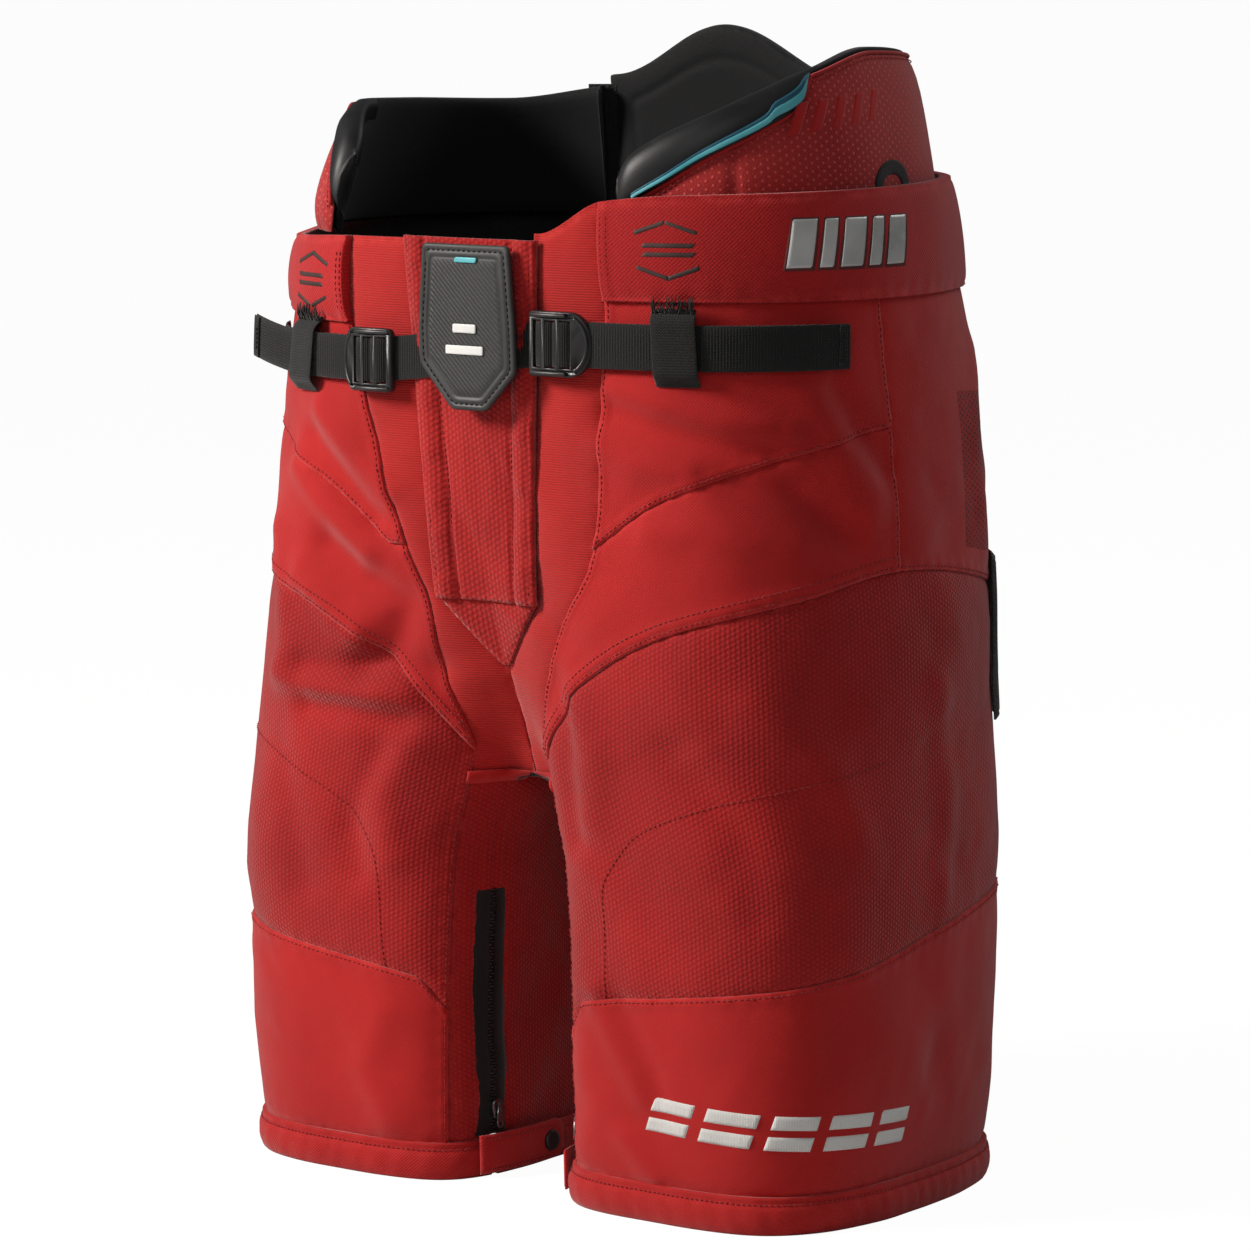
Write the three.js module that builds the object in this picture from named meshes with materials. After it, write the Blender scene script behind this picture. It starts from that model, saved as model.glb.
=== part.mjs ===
// Ice hockey pants: padded shell, two legs with inseam zippers, waist belt and kidney protection.
// Millimetres, +Z up, the front faces -Y and the wearer's left is +X.
// The origin is on the ground plane, centred between the two leg hems.
import * as THREE from 'three';

// ---------------------------------------------------------------- driving dimensions
const CROTCH_Z = 237;          // height of the saddle between the legs
const WAIST_SEAM_Z = 520;      // lower edge of the waistband
const BAND_FRONT_Z = 548;      // waistband's top edge at the fly
const BAND_SIDE_Z = 572;       // and at the hips and back
const HEM_H = 22;              // height of the hem binding
const BELT_W = 25;             // belt webbing width
const WEBBING = 1.2;           // and thickness
const SKIN = 3;                // shell fabric thickness
const SEAM_GAP = 2;            // gap between neighbouring panels, along the surface
const BACK_HALF = 84;          // half width of the back pad
const PAD_DEPTH = 7;           // where the pads start under the shell's outer face
const FLY_HALF = 46;           // half width of the fly flap at its top
const FLY_LOW_HALF = 35;       // and at its lower edge
const FLY_BOTTOM_Z = 344;
const GUSSET_TIP_Z = 302;      // point of the mesh triangle under the fly
const ZIP_T = -139;            // around-angle of the inseam zipper
const ZIP_LOW = 32;
const TAB_FRONT_T = -133;      // where the snap tab is sewn on
const TAB_BACK_T = -166;       // and its free end
const SNAP_T = -158;
const SNAP_Z = 14.5;
const PATCH_X = 5;             // the patch sits a little to the wearer's left
const PATCH_Y = -148.5;        // and its back face here
const STRAP_BACK_T = -38;      // where each strap is sewn down under its free tail
const KEEPER_T = -74;          // the webbing loop over each strap
const KEEPER_HALF = 6;         // and half its width, in degrees
const MM_PER_DEGREE = 2.1;     // along the belt line, near enough for the webbing's normals
// The belt's left side rides higher than the right, and its tail lies along the hip.
const BELTS = [
  { side: 'left', z: 492, buckleT: -104, loopT: -103, tail: 'hugging' },
  { side: 'right', z: 477, buckleT: -100, loopT: -99, tail: 'straight' },
];

// Cross sections of one leg: height, outer x, medial x, front y, back y, squareness out and in.
const LEG_ROWS = [
  [0, 212, 30, 117, 122, 2.9, 4.6],
  [120, 219, 28, 123, 128, 2.8, 4.2],
  [190, 220, 22, 127, 132, 2.7, 3.6],
  [237, 218, 7, 129, 136, 2.6, 3.0],
  [310, 213, -20, 131, 140, 2.5, 2.5],
  [400, 203, -20, 128, 140, 2.4, 2.4],
  [700, 150, -20, 100, 100, 2.3, 2.3],
];
// Cross sections of the seat and waist: height, half width, front y, back y, squareness.
const TRUNK_ROWS = [
  [237, 200, 82, 92, 2.3],
  [302, 210, 103, 122, 2.3],
  [344, 212, 119, 142, 2.3],
  [430, 209, 131, 152, 2.3],
  [495, 202, 136, 148, 2.3],
  [550, 196, 141, 142, 2.3],
  [620, 192, 140, 136, 2.3],
  [700, 184, 132, 128, 2.3],
];

const RED = 0xb92a26;
const RED_MESH = 0xa8241f;
const BLACK = 0x17181a;
const RUBBER = 0x242629;
const STEEL = 0x3a3c3f;

// ---------------------------------------------------------------- the body surface
const RAD = Math.PI / 180;
const lerp = THREE.MathUtils.lerp;

// A smooth curve through rows of [height, values...], without overshoot.
function rowsAt(rows, z) {
  const last = rows.length - 1;
  const h = THREE.MathUtils.clamp(z, rows[0][0], rows[last][0]);
  let i = 0;
  while (i < last - 1 && h > rows[i + 1][0]) i += 1;
  const slope = (k, c) => (rows[k + 1][c] - rows[k][c]) / (rows[k + 1][0] - rows[k][0]);
  const tangent = (k, c) => {
    if (k === 0) return slope(0, c);
    if (k === last) return slope(last - 1, c);
    const a = slope(k - 1, c);
    const b = slope(k, c);
    return a * b > 0 ? (2 * a * b) / (a + b) : 0;
  };
  const step = rows[i + 1][0] - rows[i][0];
  const t = (h - rows[i][0]) / step;
  return rows[i].slice(1).map((value, k) => {
    const c = k + 1;
    const [m0, m1] = [tangent(i, c) * step, tangent(i + 1, c) * step];
    return (2 * t ** 3 - 3 * t ** 2 + 1) * value + (t ** 3 - 2 * t ** 2 + t) * m0
      + (3 * t ** 2 - 2 * t ** 3) * rows[i + 1][c] + (t ** 3 - t ** 2) * m1;
  });
}

// Distance from a leg's centre line to the body surface, at around-angle phi and height z.
function reach(phi, z) {
  const [outer, medial, front, back, nOut, nIn] = rowsAt(LEG_ROWS, z);
  const cx = (outer + Math.max(medial, 0)) / 2;
  const [c, s] = [Math.cos(phi), Math.sin(phi)];
  const n = c > 0 ? nOut : nIn;
  const hx = c > 0 ? outer - cx : cx - medial;
  const hy = s < 0 ? front : back;
  const leg = (Math.abs(c / hx) ** n + Math.abs(s / hy) ** n) ** (-1 / n);
  if (z < CROTCH_Z) return { cx, r: leg };
  const [width, tFront, tBack, m] = rowsAt(TRUNK_ROWS, z);
  const depth = s < 0 ? tFront : tBack;
  let [lo, hi] = [0, 600];
  for (let k = 0; k < 30; k += 1) {
    const r = (lo + hi) / 2;
    const inside = Math.abs((cx + r * c) / width) ** m + Math.abs((r * s) / depth) ** m < 1;
    if (inside) lo = r; else hi = r;
  }
  const round = 36 * Math.min((z - CROTCH_Z) / 60, 1) + 1e-6;
  const blend = Math.max(round - Math.abs(leg - lo), 0) / round;
  return { cx, r: Math.max(leg, lo) + (blend * blend * round) / 4 };
}

function onBody(phi, z) {
  const { cx, r } = reach(phi, z);
  return new THREE.Vector3(cx + r * Math.cos(phi), r * Math.sin(phi), z);
}

// The around-angle, in degrees, where the surface is at a given x near the front or back centre.
const angleCache = new Map();
function angleAt(x, z, isFront) {
  const key = `${x.toFixed(2)} ${z.toFixed(2)} ${isFront}`;
  if (angleCache.has(key)) return angleCache.get(key);
  const sign = isFront ? -1 : 1;
  let [lo, hi] = [Math.PI / 4, Math.PI];
  for (let k = 0; k < 30; k += 1) {
    const mid = (lo + hi) / 2;
    if (onBody(sign * mid, z).x > x) lo = mid; else hi = mid;
  }
  const angle = (sign * lo) / RAD;
  angleCache.set(key, angle);
  return angle;
}

// A point at around-angle t (degrees: -180 inseam, -90 front, 0 outside, 90 back), height z,
// and a depth under the outer surface (negative stands proud).
function skinPoint(t, z, depth) {
  const phi = t * RAD;
  const p = onBody(phi, z);
  const along = onBody(phi + 0.02, z).sub(onBody(phi - 0.02, z)).normalize();
  const outward = new THREE.Vector3(along.y, -along.x, 0);
  p.addScaledVector(outward, -depth);
  if (z > CROTCH_Z) p.x = Math.max(p.x, 0.35);
  return p;
}

// ---------------------------------------------------------------- building closed solids
function signedVolume(geometry) {
  const p = geometry.attributes.position;
  const index = geometry.index.array;
  const [a, b, c] = [new THREE.Vector3(), new THREE.Vector3(), new THREE.Vector3()];
  let total = 0;
  for (let i = 0; i < index.length; i += 3) {
    a.fromBufferAttribute(p, index[i]);
    b.fromBufferAttribute(p, index[i + 1]);
    c.fromBufferAttribute(p, index[i + 2]);
    total += a.dot(b.cross(c)) / 6;
  }
  return total;
}

// A subdivided box whose points are moved by place(u, v, w), each from 0 to 1.
function mappedBox(nu, nv, nw, place) {
  const geometry = new THREE.BoxGeometry(1, 1, 1, nu, nv, nw);
  const p = geometry.attributes.position;
  for (let i = 0; i < p.count; i += 1) {
    const v = place(p.getX(i) + 0.5, p.getY(i) + 0.5, p.getZ(i) + 0.5);
    p.setXYZ(i, v.x, v.y, v.z);
  }
  if (signedVolume(geometry) < 0) geometry.index.array.reverse();
  return geometry;
}

// The same shape on the wearer's right.
function mirrored(geometry) {
  const copy = geometry.clone();
  copy.scale(-1, 1, 1);
  if (!copy.index) copy.setIndex([...Array(copy.attributes.position.count).keys()]);
  if (signedVolume(copy) < 0) copy.index.array.reverse();
  return copy;
}

const pants = new THREE.Group();
pants.name = 'hockey_pants';

function add(name, geometry, color, roughness = 0.85, metalness = 0) {
  const mesh = new THREE.Mesh(geometry, new THREE.MeshStandardMaterial({ color, roughness, metalness }));
  mesh.name = name;
  pants.add(mesh);
  return mesh;
}

function addPair(name, geometry, color, roughness, metalness) {
  add(`left_${name}`, geometry, color, roughness, metalness);
  add(`right_${name}`, mirrored(geometry), color, roughness, metalness);
}

const asFunction = (edge) => (typeof edge === 'function' ? edge : () => edge);

// A panel between two edges given as around-angles t(z) and two given as heights z(t).
function panel({ from, to, low, high, depth = [0, SKIN], nt, nz, gap = SEAM_GAP }) {
  const [fromT, toT, lowZ, highZ] = [from, to, low, high].map(asFunction);
  return mappedBox(nt, nz, 1, (u, v, w) => {
    let z = (lowZ(-90) + highZ(-90)) / 2;
    let t = 0;
    for (let k = 0; k < 5; k += 1) {
      const radius = reach(t * RAD, z).r;
      const margin = gap / 2 / radius / RAD;
      t = lerp(fromT(z) + margin, toT(z) - margin, u);
      z = lerp(lowZ(t) + gap / 2, highZ(t) - gap / 2, v);
    }
    return skinPoint(t, z, lerp(depth[0], depth[1], w));
  });
}

// A height or angle that follows a smooth line through [position, value] pairs.
const line = (pairs) => (at) => rowsAt(pairs, at)[0];

// ---------------------------------------------------------------- seam lines
const frontCentre = (z) => (z > CROTCH_Z ? angleAt(0, z, true) : -144);
const backCentre = (z) => (z > CROTCH_Z ? angleAt(0, z, false) : 141);
const bandTop = line([[-140, BAND_FRONT_Z], [-108, BAND_FRONT_Z + 1], [-91, BAND_SIDE_Z - 4], [-70, BAND_SIDE_Z], [150, BAND_SIDE_Z + 6]]);
const stretchSeam = line([[0, -126], [170, -128], [250, -130], [325, -121], [370, -108], [406, -100], [450, -96], [520, -92], [580, -91]]);
// Half width of the fly flap and of the mesh triangle under it, which ends in a point.
const flyHalfAt = (z) => {
  const { clamp } = THREE.MathUtils;
  if (z < FLY_BOTTOM_Z) return FLY_LOW_HALF * clamp((z - GUSSET_TIP_Z) / (FLY_BOTTOM_Z - GUSSET_TIP_Z), 0, 1);
  return lerp(FLY_LOW_HALF, FLY_HALF, clamp((z - FLY_BOTTOM_Z) / (BAND_FRONT_Z - FLY_BOTTOM_Z), 0, 1));
};
const flyEdge = (z) => (z > GUSSET_TIP_Z ? angleAt(flyHalfAt(z) + 3, z, true) : frontCentre(z));
const hipSeam = line([[-105, 372], [-80, 408], [-50, 430], [-15, 446], [60, 455]]);
const thighSeam = line([[-130, 250], [-105, 305], [-80, 334], [-50, 352], [-15, 366], [60, 342]]);
const kneeSeam = line([[-127, 100], [-118, 120], [-90, 130], [-40, 144], [10, 162], [60, 176]]);
const SIDE_SEAM_T = -15;
const REAR_SEAM_T = 62;
const INNER_SEAM_T = 133;
const SEAT_LOW_Z = 250;

// ---------------------------------------------------------------- shell fabric
function addShell() {
  addPair('stretch_panel', panel({
    from: flyEdge, to: stretchSeam, low: CROTCH_Z + 3, high: bandTop, nt: 3, nz: 15, gap: 3,
  }), RED);
  addPair('hip_panel', panel({
    from: stretchSeam, to: SIDE_SEAM_T, low: hipSeam, high: WAIST_SEAM_Z, nt: 7, nz: 6,
  }), RED);
  addPair('side_panel', panel({
    from: SIDE_SEAM_T, to: REAR_SEAM_T, low: thighSeam, high: WAIST_SEAM_Z, nt: 6, nz: 4,
  }), RED);
  addPair('thigh_panel', panel({
    from: stretchSeam, to: SIDE_SEAM_T, low: thighSeam, high: hipSeam, nt: 8, nz: 4,
  }), RED);
  addPair('knee_panel', panel({
    from: stretchSeam, to: REAR_SEAM_T, low: kneeSeam, high: thighSeam, nt: 12, nz: 4,
  }), RED_MESH);
  addPair('lower_panel', panel({
    from: stretchSeam, to: REAR_SEAM_T, low: HEM_H, high: kneeSeam, nt: 12, nz: 3,
  }), RED);
  addPair('rear_leg_panel', panel({
    from: REAR_SEAM_T, to: INNER_SEAM_T, low: HEM_H, high: SEAT_LOW_Z, nt: 5, nz: 4,
  }), RED);
  addPair('seat_panel', panel({
    from: REAR_SEAM_T, to: backCentre, low: SEAT_LOW_Z, high: WAIST_SEAM_Z, nt: 6, nz: 6,
  }), RED);
  addPair('inner_panel', panel({
    from: INNER_SEAM_T, to: 360 + ZIP_T - 4, low: HEM_H, high: CROTCH_Z - 1, nt: 8, nz: 4,
  }), RED_MESH);
  addPair('inseam_strip', panel({
    from: ZIP_T + 4, to: stretchSeam, low: HEM_H, high: CROTCH_Z - 1, nt: 2, nz: 5,
  }), RED_MESH);
  addPair('hem_binding', panel({
    from: ZIP_T + 1, to: 360 + ZIP_T - 1, low: 0, high: HEM_H - 0.8, depth: [-0.6, 4.4], nt: 26, nz: 1, gap: 0,
  }), RED);
  addPair('waistband', panel({
    from: stretchSeam, to: backCentre, low: WAIST_SEAM_Z, high: bandTop,
    depth: [-4, 6], nt: 16, nz: 2,
  }), RED);
}

// ---------------------------------------------------------------- pads and liners
function addPads() {
  // The guard's plate covers the front and outside of the thigh, under the shell.
  const guardTop = line([[-110, 215], [-60, 258], [-15, 300], [45, 300]]);
  addPair('thigh_guard', panel({
    from: -110, to: 45, low: 45, high: guardTop, depth: [PAD_DEPTH, PAD_DEPTH + 13], nt: 9, nz: 4, gap: 0,
  }), BLACK);
  addPair('hip_pad', panel({
    from: -28, to: 50, low: 398, high: 508, depth: [PAD_DEPTH, PAD_DEPTH + 12], nt: 5, nz: 3, gap: 0,
  }), BLACK);
  // Kidney pads stand up from inside the waistband, from beside the fly to the back pad.
  const kidneyTop = line([[-90, 592], [-80, 615], [-58, 632], [-35, 643], [0, 652], [45, 648], [105, 632]]);
  const kidneySpan = { from: -90, to: (z) => angleAt(BACK_HALF + 9, z, false), gap: 0, nt: 11, nz: 3 };
  addPair('kidney_pad', panel({ ...kidneySpan, low: 545, high: kidneyTop, depth: [9, 16] }), RED_MESH);
  addPair('kidney_liner', panel({ ...kidneySpan, low: 545, high: kidneyTop, depth: [17, 23] }), BLACK, 0.5);
  const backTop = (x) => 630 + 31 * Math.cos((x / BACK_HALF) * (Math.PI / 2)) ** 2;
  add('back_pad', mappedBox(10, 5, 1, (u, v, w) => {
    const x = lerp(-BACK_HALF, BACK_HALF, u);
    const z = lerp(430, backTop(x), v);
    const p = skinPoint(angleAt(Math.abs(x), z, false), z, lerp(9, 23, w));
    return new THREE.Vector3(x, p.y, z);
  }), BLACK, 0.5);
}

// ---------------------------------------------------------------- pieces on the centre line
// A plate over the front centre, from x to -x, standing off the surface by the given depths.
function frontPlate(halfAt, low, high, depth, nx, nz) {
  return mappedBox(nx, nz, 1, (u, v, w) => {
    const z = lerp(low, high, v);
    const x = lerp(-halfAt(z), halfAt(z), u);
    const p = skinPoint(angleAt(Math.abs(x), z, true), z, lerp(depth[0], depth[1], w));
    return new THREE.Vector3(x, p.y, z);
  });
}

function addCentre() {
  add('fly_flap', frontPlate(flyHalfAt, FLY_BOTTOM_Z + 0.5, BAND_FRONT_Z, [-2, 3], 6, 7), RED_MESH);
  const gussetHalf = (z) => Math.max(flyHalfAt(z) - 2.5, 0.6);
  add('front_gusset', frontPlate(gussetHalf, 307, FLY_BOTTOM_Z - 0.5, [0, 3], 4, 4), RED_MESH);
  add('crotch_gusset', mappedBox(2, 8, 1, (u, v, w) => {
    const y = lerp(-76, 86, v);
    return new THREE.Vector3(lerp(-11, 11, u), y, 236.8 + 3 * w + 2 * Math.sin(Math.PI * v));
  }), RED_MESH);
  // The moulded patch is an eight-cornered shield held over the fly, in front of the belt.
  const outline = [[-31, 545], [29, 545], [33, 500], [34, 475], [14, 453], [-10, 453], [-33, 478], [-34, 498]];
  const shield = new THREE.Shape(outline.map(([x, z]) => new THREE.Vector2(x, z)));
  const plate = new THREE.ExtrudeGeometry(shield, { depth: 3, bevelEnabled: false });
  plate.rotateX(Math.PI / 2);
  add('front_patch', plate, RUBBER, 0.45).position.set(PATCH_X, PATCH_Y, 0);
}

// ---------------------------------------------------------------- belt
// Webbing of even thickness through [t, depth] stations at height z.
function webbing(stations, z, thick = WEBBING) {
  const last = stations.length - 1;
  const directionAt = (k) => {
    const [a, b] = [stations[Math.max(k - 1, 0)], stations[Math.min(k + 1, last)]];
    return new THREE.Vector2((b[0] - a[0]) * MM_PER_DEGREE, b[1] - a[1]).normalize();
  };
  return mappedBox(last, 1, 1, (u, v, w) => {
    const k = Math.round(u * last);
    const along = directionAt(k);
    const off = thick * (w - 0.5);
    const t = stations[k][0] - (along.y * off) / MM_PER_DEGREE;
    return skinPoint(t, z + (v - 0.5) * BELT_W, stations[k][1] + along.x * off);
  });
}

// A right-handed frame on the surface: x along increasing t, y up, z outward.
function surfaceFrame(t, z, depth) {
  const p = skinPoint(t, z, depth);
  const q = skinPoint(t + 0.5, z, depth);
  const x = q.sub(p).setZ(0).normalize();
  const y = new THREE.Vector3(0, 0, 1);
  const matrix = new THREE.Matrix4().makeBasis(x, y, x.clone().cross(y));
  return matrix.setPosition(p);
}

// A ladder-lock buckle: a rounded frame with two cross bars and three slots.
function buckleGeometry() {
  const [w, h] = [34, 36];
  const shape = new THREE.Shape();
  shape.moveTo(-w / 2, -h / 2 + 3);
  shape.quadraticCurveTo(-w / 2, -h / 2, -w / 2 + 3, -h / 2);
  shape.lineTo(w / 2 - 6, -h / 2);
  shape.quadraticCurveTo(w / 2 + 5, -h / 2 + 6, w / 2 + 6, 0);
  shape.quadraticCurveTo(w / 2 + 5, h / 2 - 6, w / 2 - 6, h / 2);
  shape.lineTo(-w / 2 + 3, h / 2);
  shape.quadraticCurveTo(-w / 2, h / 2, -w / 2, h / 2 - 3);
  shape.closePath();
  for (const [left, right, half] of [[-13.5, -7.5, 13.8], [-4.5, 2.5, 13.5], [5.5, 11, 13.2]]) {
    const slot = new THREE.Path();
    slot.moveTo(left, -half);
    slot.lineTo(right, -half + 0.1);
    slot.lineTo(right, half);
    slot.lineTo(left, half - 0.1);
    slot.closePath();
    shape.holes.push(slot);
  }
  return new THREE.ExtrudeGeometry(shape, { depth: 4, bevelEnabled: false, curveSegments: 4 });
}

// The free end of a strap: along the hip, or straight off it and slightly upwards.
function tailGeometry(belt) {
  if (belt.tail === 'hugging') {
    const stations = [0, 1, 2, 3, 4, 5, 6].map((k) => [lerp(KEEPER_T + KEEPER_HALF + 0.4, -30, k / 6), -5]);
    return webbing(stations, belt.z);
  }
  const start = surfaceFrame(KEEPER_T + KEEPER_HALF + 0.4, belt.z, -5);
  const length = 54;
  const tail = new THREE.BoxGeometry(length, BELT_W, WEBBING, 3, 1, 1);
  tail.translate(length / 2, 0, 0).rotateY(-0.06).rotateZ(0.1);
  return tail.applyMatrix4(start);
}

function addBelt() {
  const [left, right] = BELTS;
  add('belt_centre', mappedBox(12, 1, 1, (u, v, w) => {
    const f = Math.abs(2 * u - 1);
    const belt = u < 0.5 ? right : left;
    const z = lerp((left.z + right.z) / 2, belt.z, f) + (v - 0.5) * BELT_W;
    const p = skinPoint(lerp(frontCentre(z), belt.buckleT - 4, f), z, -3.4 - WEBBING * w);
    return new THREE.Vector3(Math.sign(u - 0.5) * (f === 0 ? 0 : p.x), p.y, z);
  }), BLACK, 0.7);
  for (const belt of BELTS) {
    const place = (geometry) => (belt === left ? geometry : mirrored(geometry));
    // The strap runs forward under the buckle, turns round its bar and comes back over itself.
    const { z, loopT } = belt;
    const forward = [0, 1, 2, 3, 4, 5, 6].map((k) => [lerp(STRAP_BACK_T, loopT, k / 6), -1.8]);
    const turn = [[loopT - 0.6, -2.3], [loopT - 0.9, -3.4], [loopT - 0.6, -4.5], [loopT, -5]];
    const back = [0, 1, 2, 3].map((k) => [lerp(loopT + 5, KEEPER_T + KEEPER_HALF, k / 3), -5]);
    add(`${belt.side}_belt_strap`, place(webbing([...forward, ...turn, ...back], z)), BLACK, 0.7);
    add(`${belt.side}_belt_tail`, place(tailGeometry(belt)), BLACK, 0.7);
    const buckle = buckleGeometry().applyMatrix4(surfaceFrame(belt.buckleT, z, -7.6));
    add(`${belt.side}_buckle`, place(buckle), RUBBER, 0.35);
    add(`${belt.side}_belt_keeper`, place(mappedBox(3, 8, 1, (u, v, w) => {
      const t = lerp(KEEPER_T - KEEPER_HALF, KEEPER_T + KEEPER_HALF, u);
      const lift = 1 + 6.6 * Math.min(1, 6 * v, 6 * (1 - v));
      return skinPoint(t, lerp(z - 21, z + 21, v), -lift - WEBBING * w + 0.6);
    })), BLACK, 0.8);
  }
}

// ---------------------------------------------------------------- inseam zippers and snap tabs
function addZippers() {
  // Above the last tooth the tape runs on to the crotch seam.
  addPair('zipper', panel({
    from: ZIP_T - 3.6, to: ZIP_T + 3.6, low: ZIP_LOW - 8, high: CROTCH_Z - 1, depth: [0.4, 2.6], nt: 2, nz: 5,
  }), BLACK, 0.5);
  const slider = new THREE.BoxGeometry(8, 11, 3.2);
  slider.applyMatrix4(surfaceFrame(ZIP_T, ZIP_LOW + 8, -2.6));
  addPair('zip_slider', slider, STEEL, 0.35, 0.8);
  const pull = new THREE.BoxGeometry(4.5, 14, 1.2);
  pull.applyMatrix4(surfaceFrame(ZIP_T, ZIP_LOW + 3.5, -5.2));
  addPair('zip_pull', pull, STEEL, 0.35, 0.8);
  // The tab is sewn down in front of the zipper and snaps shut behind it.
  addPair('snap_tab', panel({
    from: TAB_BACK_T, to: TAB_FRONT_T, low: 3, high: 26, depth: [-8.6, -6.2], nt: 5, nz: 1, gap: 0,
  }), RED, 0.8);
  const cap = new THREE.CylinderGeometry(5.5, 6.5, 2, 16);
  cap.rotateX(Math.PI / 2);
  cap.applyMatrix4(surfaceFrame(SNAP_T, SNAP_Z, -9.9));
  addPair('snap_cap', cap, BLACK, 0.3, 0.4);
  const stud = new THREE.CylinderGeometry(4, 5, 4.6, 14);
  stud.rotateX(Math.PI / 2);
  stud.applyMatrix4(surfaceFrame(SNAP_T, SNAP_Z, -3.3));
  addPair('snap_stud', stud, STEEL, 0.3, 0.8);
}

// ---------------------------------------------------------------- small pieces at the back
function addRearTrim() {
  add('rear_tag', panel({
    from: 42, to: 60, low: 268, high: 362, depth: [-4, -1.4], nt: 3, nz: 4, gap: 0,
  }), BLACK, 0.6);
  // A flat webbing loop at the left hip, sewn between the waistband and the kidney pad.
  const [outer, inner, foot, centreT, centreZ] = [16, 8, 16, 2, 576];
  add('hanger_loop', mappedBox(14, 1, 1, (u, v, w) => {
    const turn = THREE.MathUtils.clamp((u * 14 - 1) / 12, 0, 1) * Math.PI;
    const radius = lerp(inner, outer, v);
    const drop = u === 0 || u === 1 ? foot : 0;
    const z = centreZ + radius * Math.sin(turn) - drop;
    return skinPoint(centreT - (radius * Math.cos(turn)) / MM_PER_DEGREE, z, lerp(6.7, 8.2, w));
  }), BLACK, 0.7);
}

addShell();
addPads();
addCentre();
addBelt();
addZippers();
addRearTrim();

export default pants;
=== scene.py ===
# Looks of a pair of ice hockey pants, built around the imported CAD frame.
# Surface work is in millimetres, as in the part's own source; meshes are made in metres.
import math

import bpy
import numpy as np
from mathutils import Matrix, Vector


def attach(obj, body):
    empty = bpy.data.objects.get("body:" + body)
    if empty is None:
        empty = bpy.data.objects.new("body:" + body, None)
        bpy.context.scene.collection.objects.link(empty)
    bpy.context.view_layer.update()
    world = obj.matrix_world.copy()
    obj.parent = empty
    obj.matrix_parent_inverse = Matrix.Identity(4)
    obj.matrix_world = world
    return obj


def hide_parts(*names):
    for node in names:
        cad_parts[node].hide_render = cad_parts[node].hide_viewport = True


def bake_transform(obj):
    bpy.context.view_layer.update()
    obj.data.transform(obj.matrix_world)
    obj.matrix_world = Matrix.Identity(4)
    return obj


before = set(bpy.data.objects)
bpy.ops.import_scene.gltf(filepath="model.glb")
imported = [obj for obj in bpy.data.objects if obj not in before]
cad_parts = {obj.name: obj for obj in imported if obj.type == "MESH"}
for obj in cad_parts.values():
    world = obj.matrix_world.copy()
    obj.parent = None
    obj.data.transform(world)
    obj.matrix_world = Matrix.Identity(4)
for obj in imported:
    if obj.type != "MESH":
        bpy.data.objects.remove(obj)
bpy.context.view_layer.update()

SCENE = bpy.context.scene
MM = 0.001
SIDES = {"left": 1, "right": -1}

# ------------------------------------------------------------------ driving dimensions, mm and degrees
CROTCH_Z = 237
WAIST_SEAM_Z = 520
BAND_FRONT_Z = 548
HEM_H = 22
BELT_W = 25
BACK_HALF = 84
FLY_HALF = 46
FLY_LOW_HALF = 35
FLY_BOTTOM_Z = 344
GUSSET_TIP_Z = 302
ZIP_T = -139
ZIP_LOW = 32
ZIP_HIGH = 165
TAB_FRONT_T = -133
TAB_BACK_T = -166
SNAP_T = -158
SNAP_Z = 14.5
SEAT_LOW_Z = 250
SIDE_SEAM_T = -15
REAR_SEAM_T = 62
INNER_SEAM_T = 133
KEEPER_T = -74
KEEPER_HALF = 6
STRAP_BACK_T = -38
BELT_Z = {"left": 492, "right": 477}
BUCKLE_T = {"left": -104, "right": -100}
LOOP_T = {"left": -103, "right": -99}
MM_PER_DEGREE = 2.1

LEG_ROWS = [
    [0, 212, 30, 117, 122, 2.9, 4.6],
    [120, 219, 28, 123, 128, 2.8, 4.2],
    [190, 220, 22, 127, 132, 2.7, 3.6],
    [237, 218, 7, 129, 136, 2.6, 3.0],
    [310, 213, -20, 131, 140, 2.5, 2.5],
    [400, 203, -20, 128, 140, 2.4, 2.4],
    [700, 150, -20, 100, 100, 2.3, 2.3],
]
TRUNK_ROWS = [
    [237, 200, 82, 92, 2.3],
    [302, 210, 103, 122, 2.3],
    [344, 212, 119, 142, 2.3],
    [430, 209, 131, 152, 2.3],
    [495, 202, 136, 148, 2.3],
    [550, 196, 141, 142, 2.3],
    [620, 192, 140, 136, 2.3],
    [700, 184, 132, 128, 2.3],
]


# ------------------------------------------------------------------ camera, lights and floor
def add_camera():
    azimuth, distance, height = math.radians(36), 3.15, 0.74
    data = bpy.data.cameras.new("camera")
    data.lens, data.sensor_width = 157.6, 36
    camera = bpy.data.objects.new("camera", data)
    camera.location = (math.sin(azimuth) * distance, -math.cos(azimuth) * distance, height)
    aim = Vector((0.0033, 0.0024, 0.316))
    camera.rotation_euler = (aim - camera.location).to_track_quat("-Z", "Y").to_euler()
    SCENE.collection.objects.link(camera)
    SCENE.camera = camera


def add_area_light(name, azimuth, elevation, distance, size, watts, colour=(1, 1, 1)):
    data = bpy.data.lights.new(name, "AREA")
    data.shape, data.size, data.energy, data.color = "DISK", size, watts, colour
    light = bpy.data.objects.new(name, data)
    a, e = math.radians(azimuth), math.radians(elevation)
    out = Vector((math.sin(a) * math.cos(e), -math.cos(a) * math.cos(e), math.sin(e)))
    aim = Vector((0, 0, 0.33))
    light.location = aim + out * distance
    light.rotation_euler = (-out).to_track_quat("-Z", "Y").to_euler()
    SCENE.collection.objects.link(light)


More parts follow.
